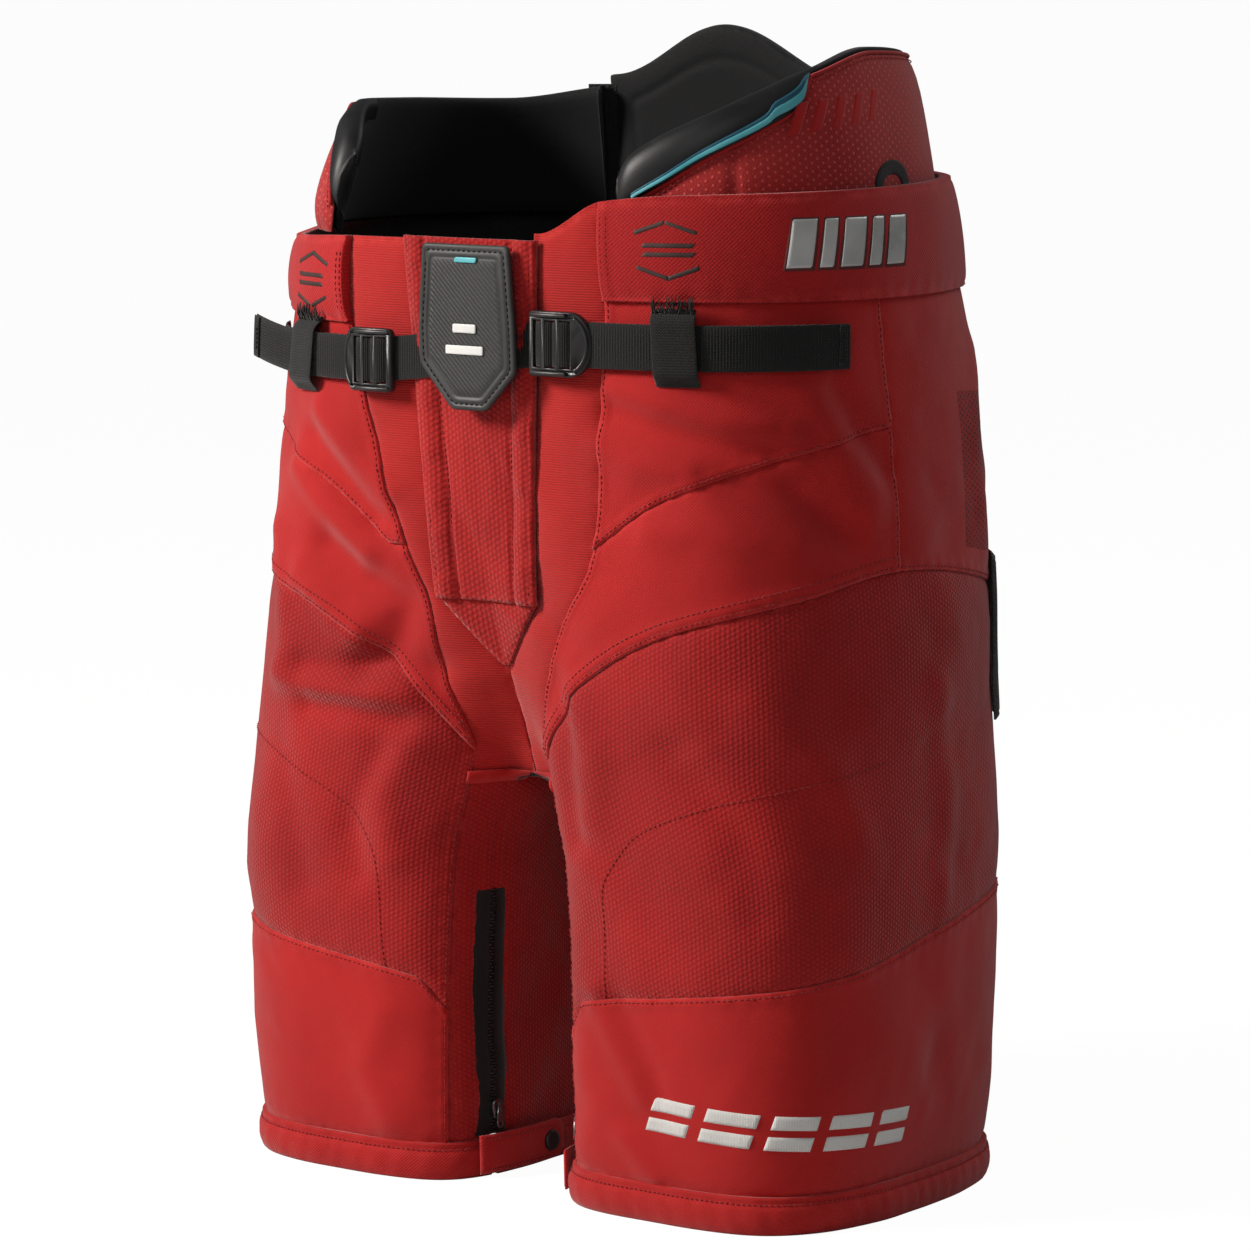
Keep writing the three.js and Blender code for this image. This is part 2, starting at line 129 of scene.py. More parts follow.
def add_stage():
    mesh = bpy.data.meshes.new("floor")
    half = 30
    mesh.from_pydata(
        [(-half, -half, 0), (half, -half, 0), (half, half, 0), (-half, half, 0)], [], [(0, 1, 2, 3)],
    )
    floor = bpy.data.objects.new("floor", mesh)
    SCENE.collection.objects.link(floor)
    material = bpy.data.materials.new("pale_floor")
    material.use_nodes = True
    shader = material.node_tree.nodes["Principled BSDF"]
    shader.inputs["Base Color"].default_value = (0.55, 0.55, 0.55, 1)
    shader.inputs["Roughness"].default_value = 0.9
    # The camera sees it near white; it throws back little light on the cloth.
    tree = material.node_tree
    glow = tree.nodes.new("ShaderNodeEmission")
    glow.inputs["Strength"].default_value = 1.12
    seen = tree.nodes.new("ShaderNodeLightPath")
    share = tree.nodes.new("ShaderNodeMath")
    share.operation = "MULTIPLY"
    share.inputs[1].default_value = 0.86
    mix = tree.nodes.new("ShaderNodeMixShader")
    tree.links.new(seen.outputs["Is Camera Ray"], share.inputs[0])
    tree.links.new(share.outputs[0], mix.inputs[0])
    tree.links.new(shader.outputs[0], mix.inputs[1])
    tree.links.new(glow.outputs[0], mix.inputs[2])
    tree.links.new(mix.outputs[0], tree.nodes["Material Output"].inputs["Surface"])
    mesh.materials.append(material)
    world = bpy.data.worlds.new("studio")
    world.use_nodes = True
    tree = world.node_tree
    background = tree.nodes["Background"]
    background.inputs["Color"].default_value = (1, 1, 1, 1)
    background.inputs["Strength"].default_value = 0.13
    white = tree.nodes.new("ShaderNodeBackground")
    white.inputs["Strength"].default_value = 1.0
    path = tree.nodes.new("ShaderNodeLightPath")
    mix = tree.nodes.new("ShaderNodeMixShader")
    tree.links.new(path.outputs["Is Camera Ray"], mix.inputs[0])
    tree.links.new(background.outputs[0], mix.inputs[1])
    tree.links.new(white.outputs[0], mix.inputs[2])
    tree.links.new(mix.outputs[0], tree.nodes["World Output"].inputs[0])
    SCENE.world = world
    SCENE.view_settings.view_transform = "Standard"
    add_area_light("key", -38, 30, 2.6, 0.8, 72, (1, 0.95, 0.90))
    add_area_light("front_fill", 30, 25, 3.4, 1.6, 10)
    add_area_light("back_fill", 150, 40, 3.0, 1.6, 14)


# ------------------------------------------------------------------ the body surface
def rows_at(rows, z):
    """Values at heights z on a smooth curve through rows of [height, values...], without overshoot."""
    rows = np.asarray(rows, float)
    heights, values = rows[:, 0], rows[:, 1:]
    step = np.diff(heights)
    slope = np.diff(values, axis=0) / step[:, None]
    tangent = np.zeros_like(values)
    tangent[0], tangent[-1] = slope[0], slope[-1]
    a, b = slope[:-1], slope[1:]
    tangent[1:-1] = np.where(a * b > 0, 2 * a * b / np.where(a + b == 0, 1, a + b), 0)
    z = np.clip(np.asarray(z, float), heights[0], heights[-1])
    i = np.clip(np.searchsorted(heights, z) - 1, 0, len(heights) - 2)
    t, s = ((z - heights[i]) / step[i])[..., None], step[i][..., None]
    start = (2 * t**3 - 3 * t**2 + 1) * values[i] + (t**3 - 2 * t**2 + t) * s * tangent[i]
    return start + (3 * t**2 - 2 * t**3) * values[i + 1] + (t**3 - t**2) * s * tangent[i + 1]


def reach(phi, z):
    """The leg's centre x and the distance from it to the surface, at angle phi and height z."""
    phi, z = np.broadcast_arrays(np.asarray(phi, float), np.asarray(z, float))
    outer, medial, front, back, n_out, n_in = np.moveaxis(rows_at(LEG_ROWS, z), -1, 0)
    cx = (outer + np.maximum(medial, 0)) / 2
    c, s = np.cos(phi), np.sin(phi)
    n = np.where(c > 0, n_out, n_in)
    hx, hy = np.where(c > 0, outer - cx, cx - medial), np.where(s < 0, front, back)
    leg = (np.abs(c / hx) ** n + np.abs(s / hy) ** n) ** (-1 / n)
    width, trunk_front, trunk_back, m = np.moveaxis(rows_at(TRUNK_ROWS, z), -1, 0)
    depth = np.where(s < 0, trunk_front, trunk_back)
    low, high = np.zeros_like(leg), np.full_like(leg, 600.0)
    for _ in range(22):
        r = (low + high) / 2
        inside = np.abs((cx + r * c) / width) ** m + np.abs(r * s / depth) ** m < 1
        low, high = np.where(inside, r, low), np.where(inside, high, r)
    rounding = 36 * np.clip((z - CROTCH_Z) / 60, 0, 1) + 1e-6
    blend = np.maximum(rounding - np.abs(leg - low), 0) / rounding
    trunk = np.maximum(leg, low) + blend**2 * rounding / 4
    return cx, np.where(z < CROTCH_Z, leg, trunk)


def on_body(phi, z):
    cx, r = reach(phi, z)
    return np.stack([cx + r * np.cos(phi), r * np.sin(phi), z + 0 * r], -1)


def outward(phi, z):
    along = on_body(phi + 0.02, z) - on_body(phi - 0.02, z)
    along /= np.linalg.norm(along, axis=-1, keepdims=True)
    return np.stack([along[..., 1], -along[..., 0], 0 * along[..., 0]], -1)


def skin(t, z, lift=0.0):
    """Points of the left half at around-angle t and height z, lifted outwards by lift."""
    t, z, lift = np.broadcast_arrays(*[np.asarray(a, float) for a in (t, z, lift)])
    phi = np.radians(t)
    p = on_body(phi, z) + outward(phi, z) * lift[..., None]
    p[..., 0] = np.where(z > CROTCH_Z, np.maximum(p[..., 0], 0.3), p[..., 0])
    return p


def tabled(function, low, high, step=2.0):
    """The same function of height, read from samples."""
    z = np.arange(low, high + step, step)
    values = function(z)
    return lambda at: np.interp(at, z, values)


def angle_at(x, z, is_front):
    """The around-angle where the surface is at x, near the front or back centre."""
    x, z = np.broadcast_arrays(np.asarray(x, float), np.asarray(z, float))
    sign = -1 if is_front else 1
    low, high = np.full(z.shape, math.pi / 4), np.full(z.shape, math.pi)
    for _ in range(22):
        mid = (low + high) / 2
        outside = on_body(sign * mid, z)[..., 0] > x
        low, high = np.where(outside, mid, low), np.where(outside, high, mid)
    return sign * np.degrees(low)


def line(*pairs):
    """A smooth line through (position, value) pairs."""
    return lambda at: rows_at(pairs, at)[..., 0]


def fly_half(z):
    low = FLY_LOW_HALF * np.clip((z - GUSSET_TIP_Z) / (FLY_BOTTOM_Z - GUSSET_TIP_Z), 0, 1)
    share = np.clip((z - FLY_BOTTOM_Z) / (BAND_FRONT_Z - FLY_BOTTOM_Z), 0, 1)
    return np.where(z < FLY_BOTTOM_Z, low, FLY_LOW_HALF + (FLY_HALF - FLY_LOW_HALF) * share)


front_centre_above = tabled(lambda z: angle_at(0, z, True), CROTCH_Z + 0.5, 690)
back_centre_above = tabled(lambda z: angle_at(0, z, False), CROTCH_Z + 0.5, 690)
fly_line = tabled(lambda z: angle_at(fly_half(z), z, True), CROTCH_Z + 0.5, 600)
back_pad_line = tabled(lambda z: angle_at(BACK_HALF + 9, z, False), 540, 690)


def closing(z):
    """Above its top stop the zipper's opening is sewn shut."""
    return 3.7 * np.clip((z - ZIP_HIGH - 2) / 6, 0, 1)


def front_centre(z):
    return np.where(z > CROTCH_Z, front_centre_above(z), -144)


def back_centre(z):
    return np.where(z > CROTCH_Z, back_centre_above(z), 141)


def fly_edge(z):
    return np.where(z > GUSSET_TIP_Z, fly_line(z), front_centre(z))


STRETCH_SEAM = {
    "left": line(
        (0, -126), (170, -128), (250, -129), (325, -115), (370, -102), (410, -98), (450, -96),
        (520, -92), (580, -91),
    ),
    "right": line(
        (0, -126), (170, -128), (250, -129), (300, -120), (340, -116), (370, -110), (455, -96),
        (508, -88), (580, -86),
    ),
}
hip_seam = line((-105, 372), (-80, 408), (-50, 430), (-15, 446), (60, 455))
thigh_seam = line((-130, 250), (-105, 305), (-80, 334), (-50, 352), (-15, 366), (60, 342))
knee_seam = line((-127, 100), (-118, 120), (-90, 130), (-40, 144), (10, 162), (60, 176))
KIDNEY_TOP = {
    "left": line(
        (-90, 582), (-85, 596), (-58.5, 621), (-45, 631), (-27.5, 642), (0, 653), (45, 648), (105, 632),
    ),
    "right": line((-70, 588), (-62, 604), (-50, 614), (-35, 619), (0, 618), (50, 616), (80, 622), (105, 630)),
}
KIDNEY_START = {"left": -89.0, "right": -69.0}
band_top_left = line((-140, 548), (-108, 549), (-91, 568), (-70, 572), (150, 578))
band_top_right = line((-140, 546), (-112, 544), (-88, 543), (-40, 539), (0, 547), (60, 567), (150, 578))
WAIST_SEAM = {
    "left": line((-140, 520), (150, 520)),
    "right": line((-140, 500), (-80, 500), (-40, 507), (10, 520), (150, 520)),
}
BAND_TOP = {"left": band_top_left, "right": band_top_right}


# ------------------------------------------------------------------ folds and drape
# Each fold is (height, width, points): a soft ridge, or a valley where the height is below zero.
# Points are (around-angle, height above the ground).
FOLDS = {
    "left": [
        (3.6, 9, [(-90, 468), (-82, 464), (-66, 454), (-48, 446)]),
        (-4.0, 9, [(-92, 455), (-80, 446), (-64, 438), (-52, 436)]),
        (3.5, 10, [(-94, 437), (-86, 428), (-74, 424)]),
        (4.0, 14, [(-44, 480), (-36, 448), (-26, 408)]),
        (-3.0, 10, [(-34, 470), (-28, 446), (-20, 424)]),
        (-3.0, 9, [(-60, 420), (-46, 412), (-32, 388)]),
        (3.0, 11, [(-84, 392), (-66, 392), (-48, 382)]),
        (3.5, 12, [(-110, 292), (-104, 262), (-108, 226)]),
        (-3.5, 9, [(-116, 300), (-114, 262), (-116, 214)]),
        (2.5, 12, [(-60, 296), (-40, 262), (-34, 216)]),
        (-2.5, 12, [(-80, 268), (-66, 226), (-64, 180)]),
        (3.0, 10, [(-113, 128), (-106, 100), (-98, 72)]),
        (-2.5, 8, [(-108, 126), (-100, 98), (-94, 74)]),
        (2.6, 9, [(-104, 46), (-96, 26)]),
        (2.5, 12, [(0, 300), (8, 240), (4, 180)]),
        (3.0, 12, [(40, 480), (30, 430), (34, 370)]),
        (-3.0, 11, [(80, 470), (90, 400), (86, 320)]),
        (3.0, 12, [(100, 440), (104, 370), (98, 300)]),
    ],
    "right": [
        (4.0, 9, [(-80, 446), (-92, 424), (-104, 402)]),
        (-4.0, 8, [(-76, 430), (-88, 408), (-100, 386)]),
        (4.0, 9, [(-70, 412), (-84, 390), (-98, 366)]),
        (-6.0, 11, [(-84, 368), (-96, 352), (-109, 338), (-108, 316), (-98, 300)]),
        (5.0, 11, [(-76, 352), (-88, 330), (-96, 318)]),
        (-5.0, 9, [(-78, 296), (-92, 296), (-106, 302), (-118, 300)]),
        (5.0, 10, [(-70, 290), (-84, 287), (-98, 286), (-110, 284)]),
        (-4.5, 8, [(-80, 274), (-96, 274), (-110, 270)]),
        (3.5, 12, [(-60, 372), (-68, 336), (-72, 306)]),
        (3.0, 12, [(-112, 256), (-108, 226), (-112, 190)]),
        (-3.0, 10, [(-104, 250), (-98, 214), (-102, 180)]),
        (-2.6, 12, [(-70, 244), (-80, 206), (-84, 170)]),
        (2.6, 11, [(-110, 96), (-104, 62), (-110, 34)]),
        (2.5, 12, [(-40, 220), (-50, 170)]),
        (3.0, 12, [(40, 480), (30, 430), (34, 370)]),
        (-3.0, 11, [(80, 470), (90, 400), (86, 320)]),
        (3.0, 12, [(100, 440), (104, 370), (98, 300)]),
    ],
}


def around(t):
    """Distance along the cloth, in mm, for an around-angle."""
    return t * 2.05


def ripple(x, seed=0.0):
    """A smooth uneven wave of about 1 either way."""
    return (
        0.5 * np.sin(x + seed)
        + 0.3 * np.sin(1.73 * x + 2.1 * seed + 1)
        + 0.2 * np.sin(2.91 * x + 3.7 * seed)
    )


def segment_distance(s, z, a, b):
    ax, az, bx, bz = around(a[0]), a[1], around(b[0]), b[1]
    dx, dz = bx - ax, bz - az
    share = np.clip(((s - ax) * dx + (z - az) * dz) / (dx * dx + dz * dz), 0, 1)
    return np.hypot(s - ax - share * dx, z - az - share * dz)


def drape(side, t, z):
    """How far the shell's cloth stands out at a place, from its folds and its soft unevenness."""
    s = around(t)
    lift = np.zeros(np.broadcast(s, z).shape)
    for height, width, points in FOLDS[side]:
        distance = np.min([segment_distance(s, z, a, b) for a, b in zip(points, points[1:])], axis=0)
        lift += height * np.exp(-((distance / width) ** 2))
    seed = 0.0 if side == "left" else 4.0
    slow = ripple(s / 23 + 0.6 * ripple(z / 31, seed), seed) * ripple(z / 27 + s / 90, seed + 2)
    quick = ripple(s / 9 + 1.4 * ripple(z / 17, seed), seed + 5) * ripple(z / 13, seed + 1)
    fade = np.clip((WAIST_SEAM_Z - z) / 30, 0, 1) * np.clip((z - 18) / 25, 0.1, 1)
    return lift + (2.6 * slow + 0.7 * quick) * fade


def belt_press(side, t, z):
    """The cloth lies flat under the belt."""
    return 0.4 + 0.3 * np.maximum(np.abs(z - BELT_Z[side]) - 15, 0) + 0.5 * np.maximum(t + 27, 0)


def narrowed(points, side):
    """The right side hangs a little closer in above the knee."""
    if side == "right":
        rise = np.clip((points[:, 2] - 150) / 250, 0, 1)
        points[:, 0] *= 1 - 0.042 * rise * rise * (3 - 2 * rise)
    return points


# ------------------------------------------------------------------ meshes
def quads_over(nu, nv, closed=False):
    """The quads of a (nu, nv) array of points; closed joins its last row to its first."""
    i, j = np.meshgrid(np.arange(nu if closed else nu - 1), np.arange(nv - 1), indexing="ij")
    after = (i + 1) % nu
    return np.stack([i * nv + j, after * nv + j, after * nv + j + 1, i * nv + j + 1], -1).reshape(-1, 4)


class Build:
    """Collects the faces of one piece, in millimetres on the wearer's left, and makes its object."""

    def __init__(self):
        self.points, self.faces, self.parts, self.cloth = [], [], [], []
        self.count = 0

    def add(self, points, faces, part=0, cloth=None):
        points = np.asarray(points, float).reshape(-1, 3)
        if cloth is None:
            cloth = np.stack([points[:, 0] + points[:, 1], points[:, 2], np.full(len(points), 50.0)], -1)
        self.points.append(points)
        self.cloth.append(np.asarray(cloth, float).reshape(-1, 3))
        faces = np.asarray(faces) + self.count
        self.faces.extend(faces.tolist())
        self.parts.extend([part] * len(faces))
        self.count += len(points)

    def grid(self, points, part=0, cloth=None, closed=False):
        """A sheet of quads over a (nu, nv) array of points, facing out where u is around and v is up."""
        self.add(points, quads_over(*points.shape[:2], closed), part, cloth)

    def shell(self, outer, inner, parts=(0, 1), cloth=None):
        """A closed sheet: an outer and an inner face, and the rim between them."""
        nu, nv = outer.shape[:2]
        n = nu * nv
        quads = quads_over(nu, nv)
        rim = [k * nv for k in range(nu)] + [(nu - 1) * nv + k for k in range(1, nv)]
        rim += [k * nv + nv - 1 for k in range(nu - 2, -1, -1)] + [k for k in range(nv - 2, 0, -1)]
        rim = np.array(rim)
        after = np.roll(rim, -1)
        edge = np.stack([rim + n, after + n, after, rim], -1)
        both = None if cloth is None else np.concatenate([cloth.reshape(-1, 3)] * 2)
        points = np.concatenate([outer.reshape(-1, 3), inner.reshape(-1, 3)])
        start = len(self.faces)
        self.shape = (nu, nv)
        self.add(points, np.concatenate([quads, edge, quads[:, ::-1] + n]), parts[0], both)
        for k in range(start + len(quads) + len(edge), len(self.faces)):
            self.parts[k] = parts[1]

    def cap(self, start, n, m, parts=(0, 0)):
        """Closes a ring of n rows of m points, at its last and then at its first level."""
        self.faces.append([start + k * m + m - 1 for k in range(n)])
        self.faces.append([start + k * m for k in range(n)][::-1])
        self.parts += parts

    def add_plate(self, placed, flat, faces):
        """Adds a plate: its points as placed, the same points in its own plane, and its faces."""
        self.points.append(placed)
        self.cloth.append(flat * [1, 1, 0] + [0, 0, 50])
        self.faces.extend([[k + self.count for k in face] for face in faces])
        self.parts.extend([0] * len(faces))
        self.count += len(placed)

    def tube(self, path, radius, part=0, sides=8, closed=False, up=(0, 0, 1)):
        """A round cord of the given radius, or radii, along a path."""
        path = np.asarray(path, float)
        n = len(path)
        if closed:
            tangent = np.roll(path, -1, 0) - np.roll(path, 1, 0)
        else:
            tangent = np.gradient(path, axis=0)
        tangent /= np.linalg.norm(tangent, axis=1, keepdims=True)
        side_way = np.cross(tangent, np.broadcast_to(np.asarray(up, float), path.shape))
        side_way /= np.linalg.norm(side_way, axis=1, keepdims=True) + 1e-9
        other = np.cross(side_way, tangent)
        radius = np.broadcast_to(np.asarray(radius, float), (n,))
        turn = np.linspace(0, 2 * math.pi, sides, endpoint=False)
        ring = side_way[:, None] * np.cos(turn)[None, :, None] + other[:, None] * np.sin(turn)[None, :, None]
        points = path[:, None] + ring * radius[:, None, None]
        i, j = np.meshgrid(np.arange(n if closed else n - 1), np.arange(sides), indexing="ij")
        i2, j2 = (i + 1) % n, (j + 1) % sides
        quads = np.stack([i * sides + j, i * sides + j2, i2 * sides + j2, i2 * sides + j], -1).reshape(-1, 4)
        self.add(points, quads, part)
        if not closed:
            last = (n - 1) * sides + self.count - n * sides
            first = self.count - n * sides
            self.faces.append([first + k for k in range(sides)][::-1])
            self.faces.append([last + k for k in range(sides)])
            self.parts += [part, part]

    def stitches(self, path, normals, part, pitch=3.4, length=2.3, radius=0.42):
        """A row of thread stitches lying along a path on the cloth."""
        path = np.asarray(path, float)
        run = np.concatenate([[0], np.cumsum(np.linalg.norm(np.diff(path, axis=0), axis=1))])
        starts = np.arange(pitch / 2, run[-1] - pitch, pitch)
        if len(starts) == 0:
            return

        def at(distance, of):
            return np.stack([np.interp(distance, run, of[:, k]) for k in range(3)], -1)

        rings = []
        for share, size, rise in ((0.0, 0.35, -0.25), (0.25, 1.0, 0.3), (0.75, 1.0, 0.3), (1.0, 0.35, -0.25)):
            centre, normal = at(starts + share * length, path), at(starts + share * length, normals)
            ahead = at(starts + share * length + 0.1, path) - centre
            across = np.cross(ahead, normal)
            across /= np.linalg.norm(across, axis=1, keepdims=True) + 1e-9
            centre = centre + normal * rise * radius
            r = radius * size
            rings.append(np.stack([
                centre + across * r, centre + normal * r, centre - across * r, centre - normal * r,
            ], 1))
        points = np.stack(rings, 1)
        base = (np.arange(len(starts)) * 16)[:, None]
        ring_faces = [
            [4 * k + a, 4 * k + (a + 1) % 4, 4 * k + 4 + (a + 1) % 4, 4 * k + 4 + a]
            for k in range(3) for a in range(4)
        ]
        ring_faces += [[3, 2, 1, 0], [12, 13, 14, 15]]
        faces = (base[:, :, None] + np.array(ring_faces)[None]).reshape(-1, 4)
        self.add(points, faces, part)

    def make(self, name, side, materials, slot, level=0):
        points = narrowed(np.concatenate(self.points), side) * MM
        cloth = np.concatenate(self.cloth) * MM
        faces = self.faces
        if side == "right":
            points = points * [-1, 1, 1]
            faces = [f[::-1] for f in faces]
        mesh = bpy.data.meshes.new(name)
        mesh.from_pydata(points.tolist(), [], faces)
        mesh.polygons.foreach_set("material_index", self.parts)
        mesh.polygons.foreach_set("use_smooth", [True] * len(faces))
        attribute = mesh.attributes.new("cloth", "FLOAT_VECTOR", "POINT")
        attribute.data.foreach_set("vector", cloth.astype(np.float32).ravel())
        for material in materials:
            mesh.materials.append(material)
        piece = bpy.data.objects.new(name, mesh)
        SCENE.collection.objects.link(piece)
        if level:
            modifier = piece.modifiers.new("smooth", "SUBSURF")
            modifier.levels = modifier.render_levels = level
        return piece


def settle(piece, body, nodes=()):
    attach(piece, body)
    if nodes:
        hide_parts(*nodes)
    return piece


def crease(piece, nodes=()):
    """Keeps the piece fixed where it was built, without a body to follow, and hides the parts it replaces."""
    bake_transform(piece)
    if nodes:
        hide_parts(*nodes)
    return piece


# ------------------------------------------------------------------ materials
class Paint:
    """One material's node tree around a Principled shader."""

    def __init__(self, name, roughness=0.8, specular=0.3, sheen=0.0, metallic=0.0, coat=0.0):
        self.material = bpy.data.materials.new(name)
        self.material.use_nodes = True
        self.tree = self.material.node_tree
        self.shader = self.tree.nodes["Principled BSDF"]
        values = {
            "Roughness": roughness,
            "Specular IOR Level": specular,
            "Sheen Weight": sheen,
            "Sheen Roughness": 0.45,
            "Metallic": metallic,
            "Coat Weight": coat,
            "Coat Roughness": 0.25,
        }
        for key, value in values.items():
            self.shader.inputs[key].default_value = value
        self.coordinates = None

    def node(self, kind, **settings):
        made = self.tree.nodes.new("ShaderNode" + kind)
        for key, value in settings.items():
            setattr(made, key, value)
        return made

    def put(self, socket, value):
        if isinstance(value, bpy.types.NodeSocket):
            self.tree.links.new(value, socket)
        else:
            socket.default_value = value

    def math(self, operation, *values, clamp=False):
        made = self.node("Math", operation=operation, use_clamp=clamp)
        for socket, value in zip(made.inputs, values):
            self.put(socket, value)
        return made.outputs[0]

    def cloth(self):
        """The piece's own (around, up, distance to a seam), in metres."""
        if self.coordinates is None:
            attribute = self.node("Attribute", attribute_name="cloth")
            split = self.node("SeparateXYZ")
            self.tree.links.new(attribute.outputs["Vector"], split.inputs[0])
            self.coordinates = split.outputs
            self.vector = attribute.outputs["Vector"]
        return self.coordinates

    def wave(self, x, y, period, function="SINE"):
        """A wave along direction (x, y), with that period in metres."""
        u, v, _ = self.cloth()
        total = self.math("ADD", self.math("MULTIPLY", u, x), self.math("MULTIPLY", v, y))
        return self.math(function, self.math("MULTIPLY", total, 2 * math.pi / period))

    def plain_weave(self, period):
        return self.math("MULTIPLY", self.wave(1, 0, period), self.wave(0, 1, period))

    def hexagons(self, period):
        """Round bumps on a triangular lattice, from -1.5 to 3."""
        k = period * math.sqrt(3) / 2
        turns = (0, math.pi / 3, 2 * math.pi / 3)
        parts = [self.wave(math.cos(a), math.sin(a), k, "COSINE") for a in turns]
        return self.math("ADD", self.math("ADD", parts[0], parts[1]), parts[2])

    def dotted(self, period):
        """Small round dots on a triangular lattice, as a mask from -1 to 1."""
        return self.between(self.hexagons(period), 1.5, 2.6, -1.0, 1.0)

    def ribs(self, period):
        return self.wave(0, 1, period)

    def upright_ribs(self, period):
        return self.wave(1, 0, period)

    def twill(self, period):
        return self.wave(0.71, 0.71, period)

    def noise(self, scale, detail=3.0):
        coordinate = self.node("TexCoord")
        made = self.node("TexNoise")
        made.inputs["Scale"].default_value = scale
        made.inputs["Detail"].default_value = detail
        self.tree.links.new(coordinate.outputs["Object"], made.inputs["Vector"])
        return made.outputs["Fac"]

    def blend(self, share, first, second):
        made = self.node("Mix", data_type="RGBA")
        self.put(made.inputs["Factor"], share)
        self.put(made.inputs["A"], (*first, 1) if isinstance(first, tuple) else first)
        self.put(made.inputs["B"], (*second, 1) if isinstance(second, tuple) else second)
        return made.outputs["Result"]

    def between(self, value, low, high, to_low=0.0, to_high=1.0):
        made = self.node("MapRange", clamp=True)
        for socket, number in zip(made.inputs[:5], (value, low, high, to_low, to_high)):
            self.put(socket, number)
        return made.outputs[0]

    def finish(self, colour, height=None, depth=0.0004, strength=0.6, roughness=None):
        self.put(self.shader.inputs["Base Color"], colour if not isinstance(colour, tuple) else (*colour, 1))
        if roughness is not None:
            self.put(self.shader.inputs["Roughness"], roughness)
        if height is not None:
            bump = self.node("Bump")
            bump.inputs["Strength"].default_value = strength
            bump.inputs["Distance"].default_value = depth
            self.put(bump.inputs["Height"], height)
            self.tree.links.new(bump.outputs["Normal"], self.shader.inputs["Normal"])
        return self.material


def woven(name, dark, light, pattern, period, depth, sheen=0.25, roughness=0.78, specular=0.25, contrast=0.5):
    """Cloth: a weave in colour and relief, slow colour variation, and paler wear along the seams."""
    paint = Paint(name, roughness, specular, sheen)
    relief = getattr(paint, pattern)(period)
    low, high = (-1.5, 3.0) if pattern == "hexagons" else (-1.0, 1.0)
    weave = paint.between(relief, low, high)
    variation = paint.between(paint.noise(14.0), 0.35, 0.7)
    fuzz = paint.between(paint.noise(900.0, 1.0), 0.3, 0.7)
    share = paint.math("ADD", paint.math("MULTIPLY", weave, contrast), paint.math("MULTIPLY", variation, 0.3))
    share = paint.math("ADD", share, paint.math("MULTIPLY", fuzz, 0.2), clamp=True)
    colour = paint.blend(share, dark, light)
    worn = paint.between(paint.cloth()[2], 0.0, 0.004, 0.35, 0.0)
    worn = paint.math("MULTIPLY", worn, paint.between(paint.noise(120.0), 0.4, 0.65))
    pale = tuple(min(1.0, c * 1.25 + 0.03) for c in light)
    colour = paint.blend(worn, colour, pale)
    rough = paint.between(fuzz, 0.0, 1.0, roughness - 0.06, roughness + 0.08)
    height = paint.math("ADD", weave, paint.math("MULTIPLY", fuzz, 0.35))
    return paint.finish(colour, height, depth, 0.7, rough)


def smooth_material(
    name, dark, light, roughness, specular=0.4, metallic=0.0, coat=0.0, grain=0.00012, scale=700.0,
):
    """Moulded or coated surfaces: a fine grain, scuffs and slow variation."""
    paint = Paint(name, roughness, specular, 0.0, metallic, coat)
    fine, slow = paint.noise(scale, 2.0), paint.noise(25.0)
    colour = paint.blend(paint.between(slow, 0.3, 0.7), dark, light)
    scuff = paint.between(paint.noise(90.0, 6.0), 0.62, 0.75, 0.0, 0.25)
    colour = paint.blend(scuff, colour, tuple(min(1.0, c * 1.6 + 0.02) for c in light))
    rough = paint.between(slow, 0.3, 0.7, max(roughness - 0.07, 0.05), roughness + 0.08)
    return paint.finish(colour, fine, grain, 0.5, rough)


def vent_material(name):
    """Red mesh with rows of small dark holes."""
    paint = Paint(name, 0.75, 0.25, 0.15)
    bumps = paint.hexagons(0.0036)
    hole = paint.between(bumps, 1.6, 2.1)
    tone = paint.blend(
        paint.between(paint.noise(20.0), 0.35, 0.7), (0.26, 0.005, 0.006), (0.46, 0.012, 0.012),
    )
    colour = paint.blend(hole, tone, (0.012, 0.004, 0.004))
    return paint.finish(colour, paint.math("MULTIPLY", hole, -1.0), 0.0008, 0.9)


